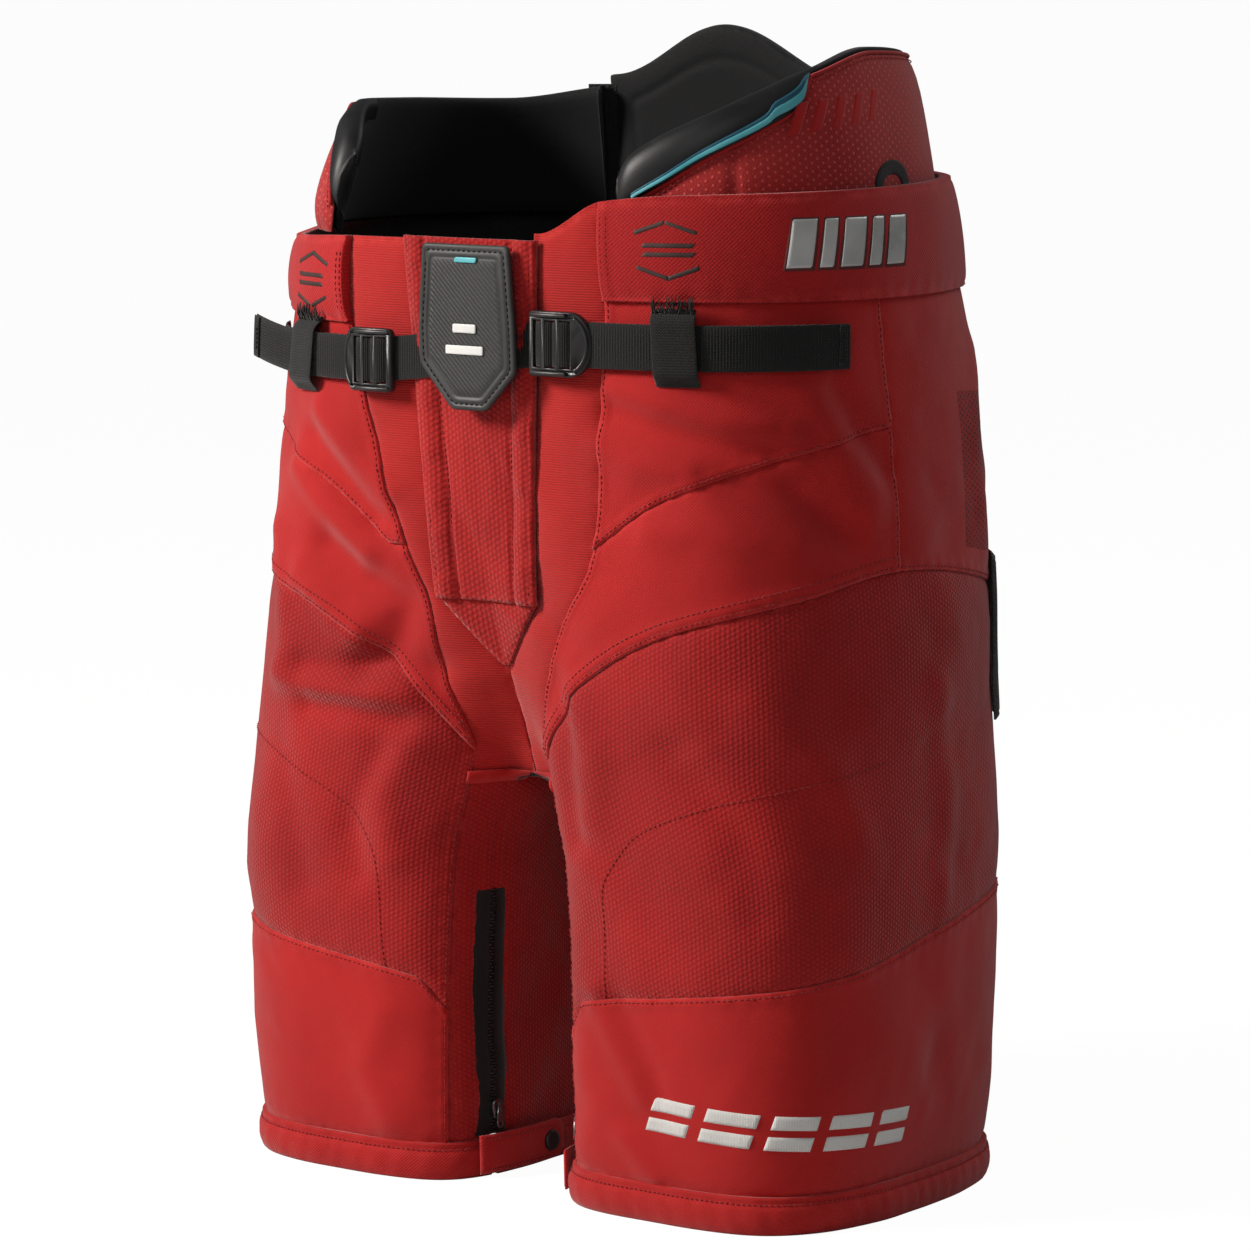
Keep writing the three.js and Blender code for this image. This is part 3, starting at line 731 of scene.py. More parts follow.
def make_materials():
    made = {}
    made["nylon"] = woven(
        "red_nylon", (0.33, 0.006, 0.007), (0.56, 0.013, 0.011), "plain_weave", 0.0017, 0.00022,
    )
    made["band"] = woven(
        "red_band_nylon", (0.30, 0.005, 0.007), (0.52, 0.011, 0.011), "plain_weave", 0.0022, 0.0003,
    )
    made["stretch"] = woven("red_stretch", (0.31, 0.006, 0.006), (0.56, 0.016, 0.012), "ribs", 0.0014, 0.0003)
    made["mesh"] = woven("red_dobby", (0.24, 0.004, 0.005), (0.58, 0.017, 0.013), "hexagons", 0.0034, 0.0006)
    made["knee"] = woven(
        "red_knee_mesh", (0.24, 0.004, 0.005), (0.52, 0.012, 0.010), "hexagons", 0.0029, 0.0005,
    )
    made["binding"] = woven(
        "red_binding", (0.34, 0.006, 0.007), (0.54, 0.013, 0.011), "twill", 0.0013, 0.00022,
    )
    made["dots"] = woven(
        "red_dotted_mesh", (0.27, 0.004, 0.008), (0.62, 0.060, 0.050), "dotted", 0.0046, 0.0005,
        contrast=1.0,
    )
    made["lining"] = woven(
        "dark_lining", (0.008, 0.008, 0.009), (0.02, 0.02, 0.021), "hexagons", 0.0024, 0.0004,
    )
    made["thread"] = woven("red_thread", (0.22, 0.004, 0.005), (0.40, 0.010, 0.010), "twill", 0.0006, 0.0001)
    made["liner"] = woven(
        "black_knit", (0.0045, 0.0045, 0.005), (0.012, 0.012, 0.013), "plain_weave", 0.0012, 0.00015,
        0.1,
    )
    made["lip"] = smooth_material("black_comfort_edge", (0.006, 0.006, 0.007), (0.012, 0.012, 0.013), 0.46)
    made["teal"] = smooth_material("teal_print", (0.05, 0.32, 0.38), (0.16, 0.58, 0.64), 0.4)
    made["deep_teal"] = smooth_material("deep_teal_print", (0.01, 0.07, 0.11), (0.03, 0.15, 0.22), 0.4)
    made["vent"] = vent_material("red_vent")
    made["webbing"] = woven(
        "black_webbing", (0.005, 0.005, 0.005), (0.019, 0.0185, 0.018), "plain_weave", 0.0016, 0.0003,
    )
    made["rubber"] = woven(
        "patch_rubber", (0.020, 0.020, 0.020), (0.052, 0.051, 0.049), "twill", 0.0022, 0.0004, 0.0,
        0.55, 0.4,
    )
    made["patch_edge"] = smooth_material("patch_border", (0.028, 0.028, 0.028), (0.05, 0.05, 0.049), 0.5)
    made["plastic"] = smooth_material(
        "buckle_plastic", (0.014, 0.014, 0.015), (0.030, 0.030, 0.031), 0.36, 0.5,
    )
    made["white"] = smooth_material("white_print", (0.72, 0.72, 0.70), (0.86, 0.86, 0.84), 0.45)
    made["silver"] = smooth_material("silver_print", (0.40, 0.40, 0.39), (0.66, 0.66, 0.64), 0.3, 0.5, 0.35)
    made["maroon"] = smooth_material("maroon_outline", (0.06, 0.008, 0.010), (0.11, 0.014, 0.016), 0.55)
    made["ink"] = smooth_material("dark_print", (0.035, 0.018, 0.016), (0.07, 0.035, 0.03), 0.6)
    made["embroidery"] = woven(
        "white_embroidery", (0.60, 0.60, 0.58), (0.90, 0.90, 0.87), "upright_ribs", 0.0009, 0.0003,
    )
    made["black_thread"] = woven(
        "black_thread", (0.006, 0.006, 0.006), (0.016, 0.016, 0.016), "twill", 0.0006, 0.0001,
    )
    made["foam"] = smooth_material("guard_foam", (0.012, 0.012, 0.013), (0.022, 0.022, 0.024), 0.7)
    made["guard"] = smooth_material("guard_plate", (0.02, 0.02, 0.021), (0.034, 0.034, 0.036), 0.42)
    made["coil"] = smooth_material("zipper_teeth", (0.008, 0.008, 0.008), (0.02, 0.02, 0.02), 0.3, 0.6)
    made["metal"] = smooth_material("dark_metal", (0.10, 0.10, 0.105), (0.20, 0.20, 0.205), 0.3, 0.5, 0.9)
    return made


# ------------------------------------------------------------------ shell panels
NEAR_SEAM = np.array([0, 0.9, 1.9, 3.0, 4.2, 5.6, 7.2, 9.2, 11.8])
STEP = 3.2                     # grid spacing on open cloth
CLOTH = 1.6                    # fabric thickness at an edge


def stations(length, close_low=True, close_high=True, step=STEP):
    """Shares from 0 to 1 along a length in mm, closer together near the seams."""
    ends = [
        NEAR_SEAM[NEAR_SEAM < length * 0.45] if close else np.array([0.0])
        for close in (close_low, close_high)
    ]
    start, stop = ends[0][-1], length - ends[1][-1]
    middle = np.linspace(start, stop, max(int(round((stop - start) / step)), 1) + 1)[1:-1]
    return np.concatenate([ends[0], middle, (length - ends[1])[::-1]]) / length


def seam_lift(kind, d):
    """Height of the cloth at distance d inside a seam line, by how that edge is sewn."""
    if kind == "lap":
        plateau = 1.25 / (1 + np.exp((d - 9.5) / 0.9))
        edge = -1.1 * np.exp(-((np.maximum(d, 0) / 0.8) ** 2))
        grooves = -0.5 * np.exp(-(((d - 2.4) / 0.9) ** 2)) - 0.45 * np.exp(-(((d - 8.0) / 1.0) ** 2))
        return plateau + edge + grooves
    if kind == "single":
        return (
            0.7 / (1 + np.exp((d - 5) / 0.8))
            - 0.8 * np.exp(-((d / 0.8) ** 2))
            - 0.4 * np.exp(-(((d - 2.2) / 0.9) ** 2))
        )
    if kind == "under":
        return -1.5 * np.exp(-np.maximum(d, 0) / 2.6)
    return -0.9 * np.exp(-np.maximum(d, 0) / 1.8)


SEAM_OVERHANG = {"lap": 0.0, "single": 0.0, "under": -4.0, "butt": -2.5}
STITCH_ROWS = {"lap": (2.4, 8.0), "single": (2.2,), "under": (), "butt": ()}


class Panel:
    """A piece of shell cloth between two around-angle lines and two height lines."""

    def __init__(self, side, left, right, low, high, edges, puff=2.0, pucker=0.5, drapes=True):
        lines = [left, right, low, high]
        self.side = side
        self.left, self.right, self.low, self.high = [
            f if callable(f) else (lambda at, f=f: f + 0 * at) for f in lines
        ]
        self.edges = dict(zip(("left", "right", "low", "high"), edges))
        self.puff, self.pucker, self.drapes = puff, pucker, drapes
        self.extra = []

    def distances(self, t, z):
        radius = reach(np.radians(t), z)[1]
        mm = np.radians(1) * radius
        return {
            "left": (t - self.left(z)) * mm,
            "right": (self.right(z) - t) * mm,
            "low": z - self.low(t),
            "high": self.high(t) - z,
        }

    def lift(self, t, z):
        d = self.distances(t, z)
        nearest = np.min([np.maximum(v, 0) for v in d.values()], axis=0)
        total = self.puff * (1 - np.exp(-nearest / 22)) - 1.6
        if self.drapes:
            total = total + drape(self.side, t, z)
            total = np.minimum(total, belt_press(self.side, t, z))
        for name, kind in self.edges.items():
            along = z if name in ("left", "right") else around(t)
            total = total + seam_lift(kind, d[name])
            strength = self.pucker * (1.0 if kind in ("lap", "single") else 0.5)
            wave = ripple(along / 1.9 + 0.15 * d[name], hash_seed(name, self.side))
            total = total + strength * wave * np.exp(-((d[name] / 8.5) ** 2))
        for function in self.extra:
            total = total + function(t, z)
        return total

    def place(self, t, z, more=0.0):
        return skin(t, z, self.lift(t, z) + more)

    def spread(self, u, v):
        """Angles and heights over shares u and v, with each edge carried past its seam line as sewn."""
        over = {name: SEAM_OVERHANG[kind] for name, kind in self.edges.items()}
        t, z = np.zeros(np.broadcast(u, v).shape), np.zeros(np.broadcast(u, v).shape)
        z += (self.low(-90.0) + self.high(-90.0)) / 2
        for _ in range(6):
            degree = np.radians(1) * reach(np.radians(t), z)[1]
            start = self.left(z) + over["left"] / degree
            stop = self.right(z) - over["right"] / degree
            t = start + (stop - start) * u
            bottom, top = self.low(t) + over["low"], self.high(t) - over["high"]
            z = bottom + (top - bottom) * v
        return t, z

    def size(self):
        """Width along the cloth at mid height, and the straight height up its middle."""
        across = skin(*self.spread(np.linspace(0, 1, 9)[:, None], np.array([[0.5]])))[:, 0]
        bottom, top = [skin(*self.spread(np.array([[0.5]]), np.array([[v]]))) for v in (0.0, 1.0)]
        return np.linalg.norm(np.diff(across, axis=0), axis=1).sum(), np.linalg.norm(top - bottom)

    def build(self, thickness=CLOTH, step=STEP):
        width, height = self.size()
        u, v = stations(width, step=step)[:, None], stations(height, step=step)[None]
        t, z = self.spread(u, v)
        lift = self.lift(t, z)
        outer = skin(t, z, lift)
        inner = skin(t, z, lift - thickness)
        d = self.distances(t, z)
        nearest = np.min([np.abs(value) for value in d.values()], axis=0)
        cloth = np.stack([around(t), z + 0 * t, nearest], -1)
        build = Build()
        build.shell(outer, inner, (0, 1), cloth)
        for name, kind in self.edges.items():
            for row in STITCH_ROWS[kind]:
                self.sew(build, name, row)
        return build

    def edge_path(self, name, inset, count=260):
        share = np.linspace(0.01, 0.99, count)
        other = np.zeros(count)
        if name in ("left", "right"):
            t, z = self.spread(np.full(count, 0.0 if name == "left" else 1.0), share)
            for _ in range(3):
                degree = np.radians(1) * reach(np.radians(t), z)[1]
                t = self.left(z) + inset / degree if name == "left" else self.right(z) - inset / degree
        else:
            t, z = self.spread(share, other + (0.0 if name == "low" else 1.0))
            z = self.low(t) + inset if name == "low" else self.high(t) - inset
        return t, z

    def sew(self, build, name, inset, part=2, **look):
        t, z = self.edge_path(name, inset)
        build.stitches(self.place(t, z, 0.25), outward(np.radians(t), z), part, **look)

    def sew_line(self, build, t, z, part=2, **look):
        build.stitches(self.place(t, z, 0.25), outward(np.radians(t), z), part, **look)


def hash_seed(name, side):
    return {"left": 1.0, "right": 2.3, "low": 3.1, "high": 4.7}[name] + (0.0 if side == "left" else 1.9)


def add_shell(paints):
    panels = {}
    for side in SIDES:
        top, stretch_seam, waist = BAND_TOP[side], STRETCH_SEAM[side], WAIST_SEAM[side]
        makes = {
            "stretch_panel": (
                fly_edge, stretch_seam, CROTCH_Z + 1, top, ("under", "under", "butt", "butt"),
                "stretch", "stretch",
            ),
            "hip_panel": (
                stretch_seam, SIDE_SEAM_T, hip_seam, waist, ("single", "single", "single", "butt"),
                "nylon", "nylon",
            ),
            "side_panel": (
                SIDE_SEAM_T, REAR_SEAM_T, thigh_seam, waist, ("butt", "butt", "single", "butt"),
                "nylon", "nylon",
            ),
            "thigh_panel": (
                stretch_seam, SIDE_SEAM_T, thigh_seam, hip_seam, ("single", "single", "lap", "under"),
                "nylon", "nylon",
            ),
            "knee_panel": (
                stretch_seam, REAR_SEAM_T, knee_seam, thigh_seam, ("single", "butt", "under", "under"),
                "knee", "mesh",
            ),
            "lower_panel": (
                stretch_seam, REAR_SEAM_T, HEM_H, knee_seam, ("single", "butt", "under", "single"),
                "nylon", "nylon",
            ),
            "rear_leg_panel": (
                REAR_SEAM_T, INNER_SEAM_T, HEM_H, SEAT_LOW_Z, ("single", "butt", "under", "butt"),
                "nylon", "nylon",
            ),
            "seat_panel": (
                REAR_SEAM_T, back_centre, SEAT_LOW_Z, waist, ("single", "butt", "single", "butt"),
                "nylon", "nylon",
            ),
            "inner_panel": (
                INNER_SEAM_T, lambda z: 360 + ZIP_T - 4 + closing(z), HEM_H, CROTCH_Z - 0.6,
                ("single", "butt", "under", "butt"), "knee", "mesh",
            ),
            "inseam_strip": (
                lambda z: ZIP_T + 4 - closing(z), stretch_seam, HEM_H, CROTCH_Z - 0.6,
                ("butt", "under", "under", "butt"), "knee", "mesh",
            ),
        }
        for name, (left, right, low, high, edges, paint, slot) in makes.items():
            panel = Panel(side, left, right, low, high, edges)
            panels[side, name] = panel
            build = panel.build()
            if name == "knee_panel":
                add_knee_stitching(panel, build)
            if name == "side_panel":
                mark_vent(build)
            skins = [paints[paint], paints["lining"], paints["thread"], paints["vent"]]
            piece = build.make(f"{side}_{name}_cloth", side, skins, slot)
            if name == "hip_panel":
                settle(piece, "pants", [f"{side}_{name}"])
            elif name == "lower_panel":
                settle(piece, f"{side}_leg", [f"{side}_{name}"])
            else:
                crease(piece, [f"{side}_{name}"])
    return panels


def mark_vent(build):
    """The vent is a perforated strip down the side panel."""
    nu, nv = build.shape
    for i in range(int(0.46 * nu), int(0.74 * nu)):
        for j in range(int(0.16 * nv), int(0.6 * nv)):
            build.parts[i * (nv - 1) + j] = 3


KNEE_DART = line((95, -112), (130, -110), (185, -108), (215, -98), (240, -72), (262, -20), (275, 30))


def add_knee_stitching(panel, build):
    z = np.linspace(112, 262, 200)
    panel.sew_line(build, KNEE_DART(z), z, pitch=3.6)


def add_hems(paints):
    for side in SIDES:
        t = np.linspace(ZIP_T + 1, 360 + ZIP_T - 1, 230)[:, None]
        height = HEM_H - 0.5
        z = (np.array([0, 0.6, 2.2, 5, 8, 11, 14, 16, 17.4, 18.6, 20, height]) + 0 * t)
        share = z / height
        roll = 2.6 * np.sin(math.pi * np.clip(share * 1.12, 0, 1)) ** 0.6 + 0.2
        groove = -1.2 * np.exp(-(((z - 17.8) / 1.2) ** 2))
        s = around(t)
        wave = 0.55 * ripple(s / 2.3 + z * 0.12, 1.0) * np.sin(math.pi * np.clip(share, 0, 1)) ** 0.5
        slow = 1.2 * ripple(s / 21, 2.0 if side == "left" else 5.0)
        lift = roll + groove + wave + slow * 0.6
        outer = skin(t, z, lift)
        inner = skin(t, z, -4.2 + slow * 0.6 - 1.0 * (1 - np.abs(2 * share - 1)))
        build = Build()
        cloth = np.stack([around(t) + 0 * z, z, 3 + 0 * z], -1)
        build.shell(outer, inner, (0, 1), cloth)
        path_t = np.linspace(ZIP_T + 2, 360 + ZIP_T - 2, 420)
        path_lift = 0.9 + 0.72 * ripple(around(path_t) / 21, 2.0 if side == "left" else 5.0)
        build.stitches(
            skin(path_t, 17.8 + 0 * path_t, path_lift), outward(np.radians(path_t), 17.8 + 0 * path_t),
            2, pitch=3.2,
        )
        piece = build.make(
            f"{side}_hem_roll", side, [paints["binding"], paints["lining"], paints["thread"]],
            "binding",
        )
        settle(piece, f"{side}_leg", [f"{side}_hem_binding"])


# ------------------------------------------------------------------ padded pieces
def puff_out(piece, shape, sewn, cap, pressure=4.0, frames=18):
    """Inflates a closed piece with the cloth solver, held at its seams and stitching, then keeps the result.

    The piece starts with an outer and an inner sheet of the given shape; sewn is a mask over one sheet.
    """
    sheet = shape[0] * shape[1]
    free = np.flatnonzero(~sewn.ravel())
    loose = np.concatenate([free, free + sheet])
    pinned = np.setdiff1d(np.arange(len(piece.data.vertices)), loose)
    mesh = piece.data
    rest = np.zeros(len(mesh.vertices) * 3)
    mesh.vertices.foreach_get("co", rest)
    rest = rest.reshape(-1, 3)
    group = piece.vertex_groups.new(name="sewn")
    group.add([int(k) for k in pinned], 1.0, "REPLACE")
    modifier = piece.modifiers.new("cloth", "CLOTH")
    settings = modifier.settings
    settings.vertex_group_mass = "sewn"
    settings.quality = 4
    settings.mass = 0.2
    settings.tension_stiffness = settings.compression_stiffness = 12
    settings.bending_stiffness = 0.6
    settings.use_pressure = True
    settings.uniform_pressure_force = pressure
    settings.effector_weights.gravity = 0
    modifier.collision_settings.use_collision = False
    modifier.point_cache.frame_start, modifier.point_cache.frame_end = 1, frames
    for number in range(1, frames + 1):
        SCENE.frame_set(number)
    solved = piece.evaluated_get(bpy.context.evaluated_depsgraph_get()).to_mesh()
    moved = np.zeros(len(solved.vertices) * 3)
    solved.vertices.foreach_get("co", moved)
    piece.evaluated_get(bpy.context.evaluated_depsgraph_get()).to_mesh_clear()
    piece.modifiers.remove(modifier)
    piece.vertex_groups.remove(group)
    step = moved.reshape(-1, 3) - rest
    far = np.linalg.norm(step, axis=1, keepdims=True)
    step *= np.minimum(1, cap / np.maximum(far, 1e-9))
    mesh.vertices.foreach_set("co", (rest + step).ravel())
    mesh.update()
    SCENE.frame_set(1)


def add_waistband(paints):
    for side in SIDES:
        top, stretch_seam = BAND_TOP[side], STRETCH_SEAM[side]
        low = WAIST_SEAM[side]
        band = Panel(
            side, stretch_seam, back_centre, lambda at, low=low: low(at) - 1, top,
            ("single", "butt", "butt", "butt"), puff=3.0, drapes=False,
        )
        width, _ = band.size()
        u = stations(width, step=4.0)[:, None]
        v = stations(54, step=4.0)[None]
        t, z = band.spread(u, v)
        s = around(t)
        share = (z - low(t) + 1) / (top(t) - low(t) + 1)
        crown = 3.2 * np.sin(math.pi * np.clip(share, 0, 1)) ** 0.55
        tucks = 0.5 * ripple(s / 2.4, 1.0) * np.exp(-((share / 0.14) ** 2))
        slow = 0.8 * ripple(s / 26, 3.0 if side == "left" else 6.0)
        outer = skin(t, z, 1.2 + crown + tucks + slow + seam_lift("single", band.distances(t, z)["left"]))
        inner = skin(t, z, -5.5 - crown * 0.5 + slow)
        build = Build()
        cloth = np.stack([s, z + 0 * t, 50 * np.clip(np.minimum(share, 1 - share), 0, 1)], -1)
        build.shell(outer, inner, (0, 1), cloth)
        path_z = np.linspace(low(-91.0) + 2, top(-91.0) - 3, 60)
        degree = np.radians(1) * reach(np.radians(-91), path_z)[1]
        for inset in (1.8, 5.2):
            path_t = stretch_seam(path_z) + inset / degree
            share_line = (path_z - low(path_t)) / (top(path_t) - low(path_t))
            rise = 1.2 + 3.2 * np.sin(math.pi * np.clip(share_line, 0, 1)) ** 0.55 + seam_lift("single", np.array(inset)) + 0.3
            build.stitches(skin(path_t, path_z, rise), outward(np.radians(path_t), path_z), 2)
        piece = build.make(
            f"{side}_waistband_pad", side, [paints["band"], paints["lining"], paints["thread"]],
            "nylon",
        )
        rows = np.minimum(share, 1 - share) * 54
        sewn = (rows < 4) | (band.distances(t, z)["left"] < 7) | (u > 0.985)
        puff_out(piece, build.shape, sewn, 0.0022)
        settle(piece, "pants", [f"{side}_waistband"])


# The red outer pad ends along this line at the front; the black lip stands above it.
RED_LINE = {
    "left": line(
        (-92, 556), (-85, 568), (-75, 580), (-65, 592), (-48, 608), (-35, 621), (-29, 638), (-24, 650),
        (110, 700),
    ),
    "right": line((-70, 556), (-62, 575), (-52, 597), (-42, 612), (-34, 640), (110, 700)),
}
LIP_TOP = 3


def kidney_top_at(side, t):
    return KIDNEY_TOP[side](t)


def red_top_at(side, t):
    return np.minimum(RED_LINE[side](t), kidney_top_at(side, t) - LIP_TOP)


def kidney_lean(z, side="left"):
    """The pads lean in towards the top, the right one further."""
    if side == "right":
        return -15 * np.clip((z - 560) / 60, 0, 1) ** 1.3
    return -7 * np.clip((z - 570) / 90, 0, 1) ** 1.5


def add_kidney_pads(paints):
    for side in SIDES:
        start = KIDNEY_START[side] + 0.5
        u = np.linspace(0, 1, 110)[:, None]
        v = np.array([0, 0.02, 0.06, 0.12, 0.2, 0.3, 0.4, 0.5, 0.6, 0.7, 0.8, 0.88, 0.94, 0.98, 1.0])[None]
        t = start + 0 * (u + v)
        z = 600 + 0 * (u + v)
        for _ in range(5):
            t = start + (back_pad_line(z) - 1 - start) * u
            z = 545 + (red_top_at(side, t) - 545) * v
        edge = np.minimum(np.minimum(v, 1 - v) * (red_top_at(side, t) - 545), np.minimum(u, 1 - u) * 350)
        crown = 1 - np.exp(-edge / 7)
        quilt = -1.8 * np.exp(-(((t + 57 - (z - 575) * 0.05) / 1.3) ** 2)) * np.clip((606 - z) / 12, 0, 1)
        lean = kidney_lean(z, side)
        outer = skin(
            t, z,
            -11.5 + 4.2 * crown + quilt + lean + 1.2 * ripple(around(t) / 30, 1.0) * ripple(z / 25, 2.0),
        )
        inner = skin(t, z, -12.5 - 3.2 * crown + lean)
        build = Build()
        cloth = np.stack([around(t), z, edge], -1)
        build.shell(outer, inner, (0, 1), cloth)
        edge_t = np.linspace(start + 0.5, back_pad_line(float(kidney_top_at(side, 95.0))) - 2, 200)
        edge_z = red_top_at(side, edge_t)
        build.tube(skin(edge_t, edge_z, -10.3 + kidney_lean(edge_z, side)), 1.1, 2, 6)
        build.stitches(
            skin(edge_t, edge_z - 3, -9.0 + kidney_lean(edge_z, side)),
            outward(np.radians(edge_t), edge_z), 2,
        )
        piece = build.make(
            f"{side}_kidney_outer", side, [paints["dots"], paints["lining"], paints["binding"]],
            "perforated",
        )
        puff_out(piece, build.shape, (edge < 5) | (np.abs(t + 57) < 2), 0.0018)
        settle(piece, "pants", [f"{side}_kidney_pad"])
        add_kidney_liner(side, paints)
        add_pad_link(side, paints)
    add_lip_stripe("left", paints)


def add_kidney_liner(side, paints):
    """Moulded foam behind the red pad. At the front it rolls out over the top as a smooth black lip."""
    count = 120
    u = np.linspace(0, 1, count)
    start = KIDNEY_START[side]
    t = start + (back_pad_line(600.0) - 1 - start) * u
    top, red = kidney_top_at(side, t), red_top_at(side, t)
    lip = np.clip((top - red - LIP_TOP) / 12, 0, 1)
    # The front end is rounded off in plan.
    nose = 5.0 * np.exp(-(u / 0.012))
    rows = [
        (17.2, 545 + 0 * t),
        (17.2, red - 9),
        (17.2 - 3 * lip, red - 3),
        (13.4 - 4.2 * lip, red + 0.4),
        (12.6 - 5.2 * lip, red + 0.25 * (top - red)),
        (12.2 - 5.6 * lip, red + 0.6 * (top - red)),
        (12.8 - 3.8 * lip, red + 0.88 * (top - red)),
        (14.6 - 2.0 * lip, top),
        (18.5 + 0 * t, top + 0.8 * lip),
        (21.8 + 0 * t, top - 3),
        (23.4 + 0 * t, top - 9),
        (23.8 + 0 * t, 0.5 * top + 0.5 * 545),
        (22.6 + 0 * t, 560 + 0 * t),
        (20.5 + 0 * t, 545 + 0 * t),
    ]
    points = np.zeros((count, len(rows), 3))
    for k, (depth, z) in enumerate(rows):
        rounding = nose * (1 if depth[0] < 15 else -0.6) if np.ndim(depth) else nose * 0.3
        points[:, k] = skin(t, z, -depth - rounding + kidney_lean(z, side))
    build = Build()
    cloth = np.stack([around(t)[:, None] + 0 * points[..., 0], points[..., 2], 50 + 0 * points[..., 0]], -1)
    build.grid(points, 0, cloth)
    n = len(rows)
    base = build.count - count * n
    for k in range(count - 1):
        build.faces.append([base + k * n + n - 1, base + (k + 1) * n + n - 1, base + (k + 1) * n, base + k * n])
        build.parts.append(0)
    build.faces.append([base + k for k in range(n)][::-1])
    build.faces.append([base + (count - 1) * n + k for k in range(n)])
    build.parts += [0, 0]
    front = int((t < -24).sum()) - 1
    for index in range((count - 1) * (n - 1)):
        i, j = divmod(index, n - 1)
        if i < front and 2 <= j <= 9:
            build.parts[index] = 1
    piece = build.make(f"{side}_kidney_foam", side, [paints["liner"], paints["lip"]], "lining", level=1)
    settle(piece, "pants", [f"{side}_kidney_liner"])


def add_pad_link(side, paints):
    """Ribbed elastic between the kidney pad and the back pad."""
    v = np.linspace(0, 1, 30)[None]
    u = np.linspace(0, 1, 24)[:, None]
    z = 548 + (kidney_top_at(side, 100.0) - 4 - 548) * v + 0 * u
    start, stop = back_pad_line(z) - 5, back_pad_line(z) + 9
    t = start + (stop - start) * u
    lift = -14.5 + kidney_lean(z, side) * (1 - u) + kidney_lean(z) * u + 0.35 * np.sin(u * 40)
    build = Build()
    cloth = np.stack([around(t), z, 50 + 0 * z], -1)
    build.shell(skin(t, z, lift), skin(t, z, lift - 1.5), (0, 0), cloth)
    piece = build.make(f"{side}_pad_elastic", side, [paints["lining"]], "lining")
    settle(piece, "pants")


def add_lip_stripe(side, paints):
    """A tapered two-tone stripe on the lip that steps up towards its tip."""
    t = np.linspace(-84, -29, 110)
    red, top = red_top_at(side, t), kidney_top_at(side, t)
    share = (t + 84) / 55
    step = 1 / (1 + np.exp(-(share - 0.72) / 0.012))
    low = red + 2.6 + 2.2 * step * (1 - share) / 0.28
    width = 3.0 + 3.4 * share + 2.4 * step
    width = width * np.clip((1 - share) / 0.08, 0.1, 1)
    build = Build()
    for part, (a, b) in enumerate(((0.0, 0.62), (0.62, 1.0))):
        v = np.linspace(a, b, 4)[None]
        z = np.minimum(low[:, None] + width[:, None] * v, top[:, None] - 1.5)
        lift = -5.9 + kidney_lean(z, side) - 5.2 * (1 - np.clip((top - red - LIP_TOP) / 12, 0, 1))[:, None]
        build.shell(skin(t[:, None] + 0 * v, z, lift), skin(t[:, None] + 0 * v, z, lift - 1.6), (part, part))
    piece = build.make(f"{side}_lip_stripe", side, [paints["teal"], paints["deep_teal"]], "lining")
    settle(piece, "pants")


def add_back_pad(paints):
    """The back pad, with a shallow panel line inside and a soft rolled edge."""
    nu, nv = 61, 56
    u = np.linspace(-1, 1, nu)[:, None]
    v = np.linspace(0, 1, nv)[None] ** 0.8
    x = BACK_HALF * np.sign(u) * np.abs(u) ** 0.92 + 0 * v
    top = 630 + 31 * np.cos(x / BACK_HALF * math.pi / 2) ** 2
    z = 430 + (top - 430) * v
    t = angle_at(np.abs(x), z, False)
    edge = np.minimum((1 - np.abs(u)) * BACK_HALF, (1 - v) * 200)
    crown = 1 - np.exp(-edge / 6)
    behind = skin(t, z, -12.5 + 3.5 * crown + kidney_lean(z))
    before = skin(t, z, -19.5 - 4.0 * crown + kidney_lean(z) + 1.6 * np.exp(-((edge - 18) / 1.4) ** 2))
    behind[..., 0] = before[..., 0] = x
    build = Build()
    cloth = np.stack([x, z, edge + 0 * z], -1)
    build.shell(before, behind, (0, 0), cloth)
    piece = build.make("back_pad_foam", "left", [paints["liner"]], "lining", level=1)
    settle(piece, "pants", ["back_pad"])


def add_hidden_guards(paints):
    """Thigh guards and hip pads inside the shell, seen from below and from the waist."""
    guard_top = line((-110, 215), (-60, 258), (-15, 300), (45, 300))
    for side in SIDES:
        for name, t0, t1, low, high, body, thick in (
            ("thigh_guard", -110, 45, lambda at: 45 + 0 * at, guard_top, f"{side}_leg", 13),
            ("hip_pad", -28, 50, lambda at: 398 + 0 * at, lambda at: 508 + 0 * at, "pants", 12),
        ):
            u, v = np.linspace(0, 1, 64)[:, None], np.linspace(0, 1, 48)[None]
            t = t0 + (t1 - t0) * u + 0 * v
            z = low(t) + (high(t) - low(t)) * v
            edge = np.minimum(
                np.minimum(u, 1 - u) * (t1 - t0) * 2.0, np.minimum(v, 1 - v) * (high(t) - low(t)),
            )
            crown = 1 - np.exp(-edge / 8)
            cells = (
                0.9 * np.abs(np.sin(z / 26 * math.pi)) ** 0.4
                * np.abs(np.sin(around(t) / 38 * math.pi)) ** 0.4
            )
            outer = skin(t, z, -7.6 - thick * 0.4 * (1 - crown))
            inner = skin(t, z, -8.4 - thick * (0.4 + 0.5 * crown) - cells * crown)
            build = Build()
            build.shell(outer, inner, (0, 1), np.stack([around(t), z, edge], -1))
            piece = build.make(f"{side}_{name}_foam", side, [paints["guard"], paints["foam"]], "guard")
            settle(piece, body, [f"{side}_{name}"])


# ------------------------------------------------------------------ pieces on the centre line
def front_grid(x, z, lift):
    t = angle_at(np.abs(x), z, True)
    p = skin(t, z, lift)
    p[..., 0] = x
    return p


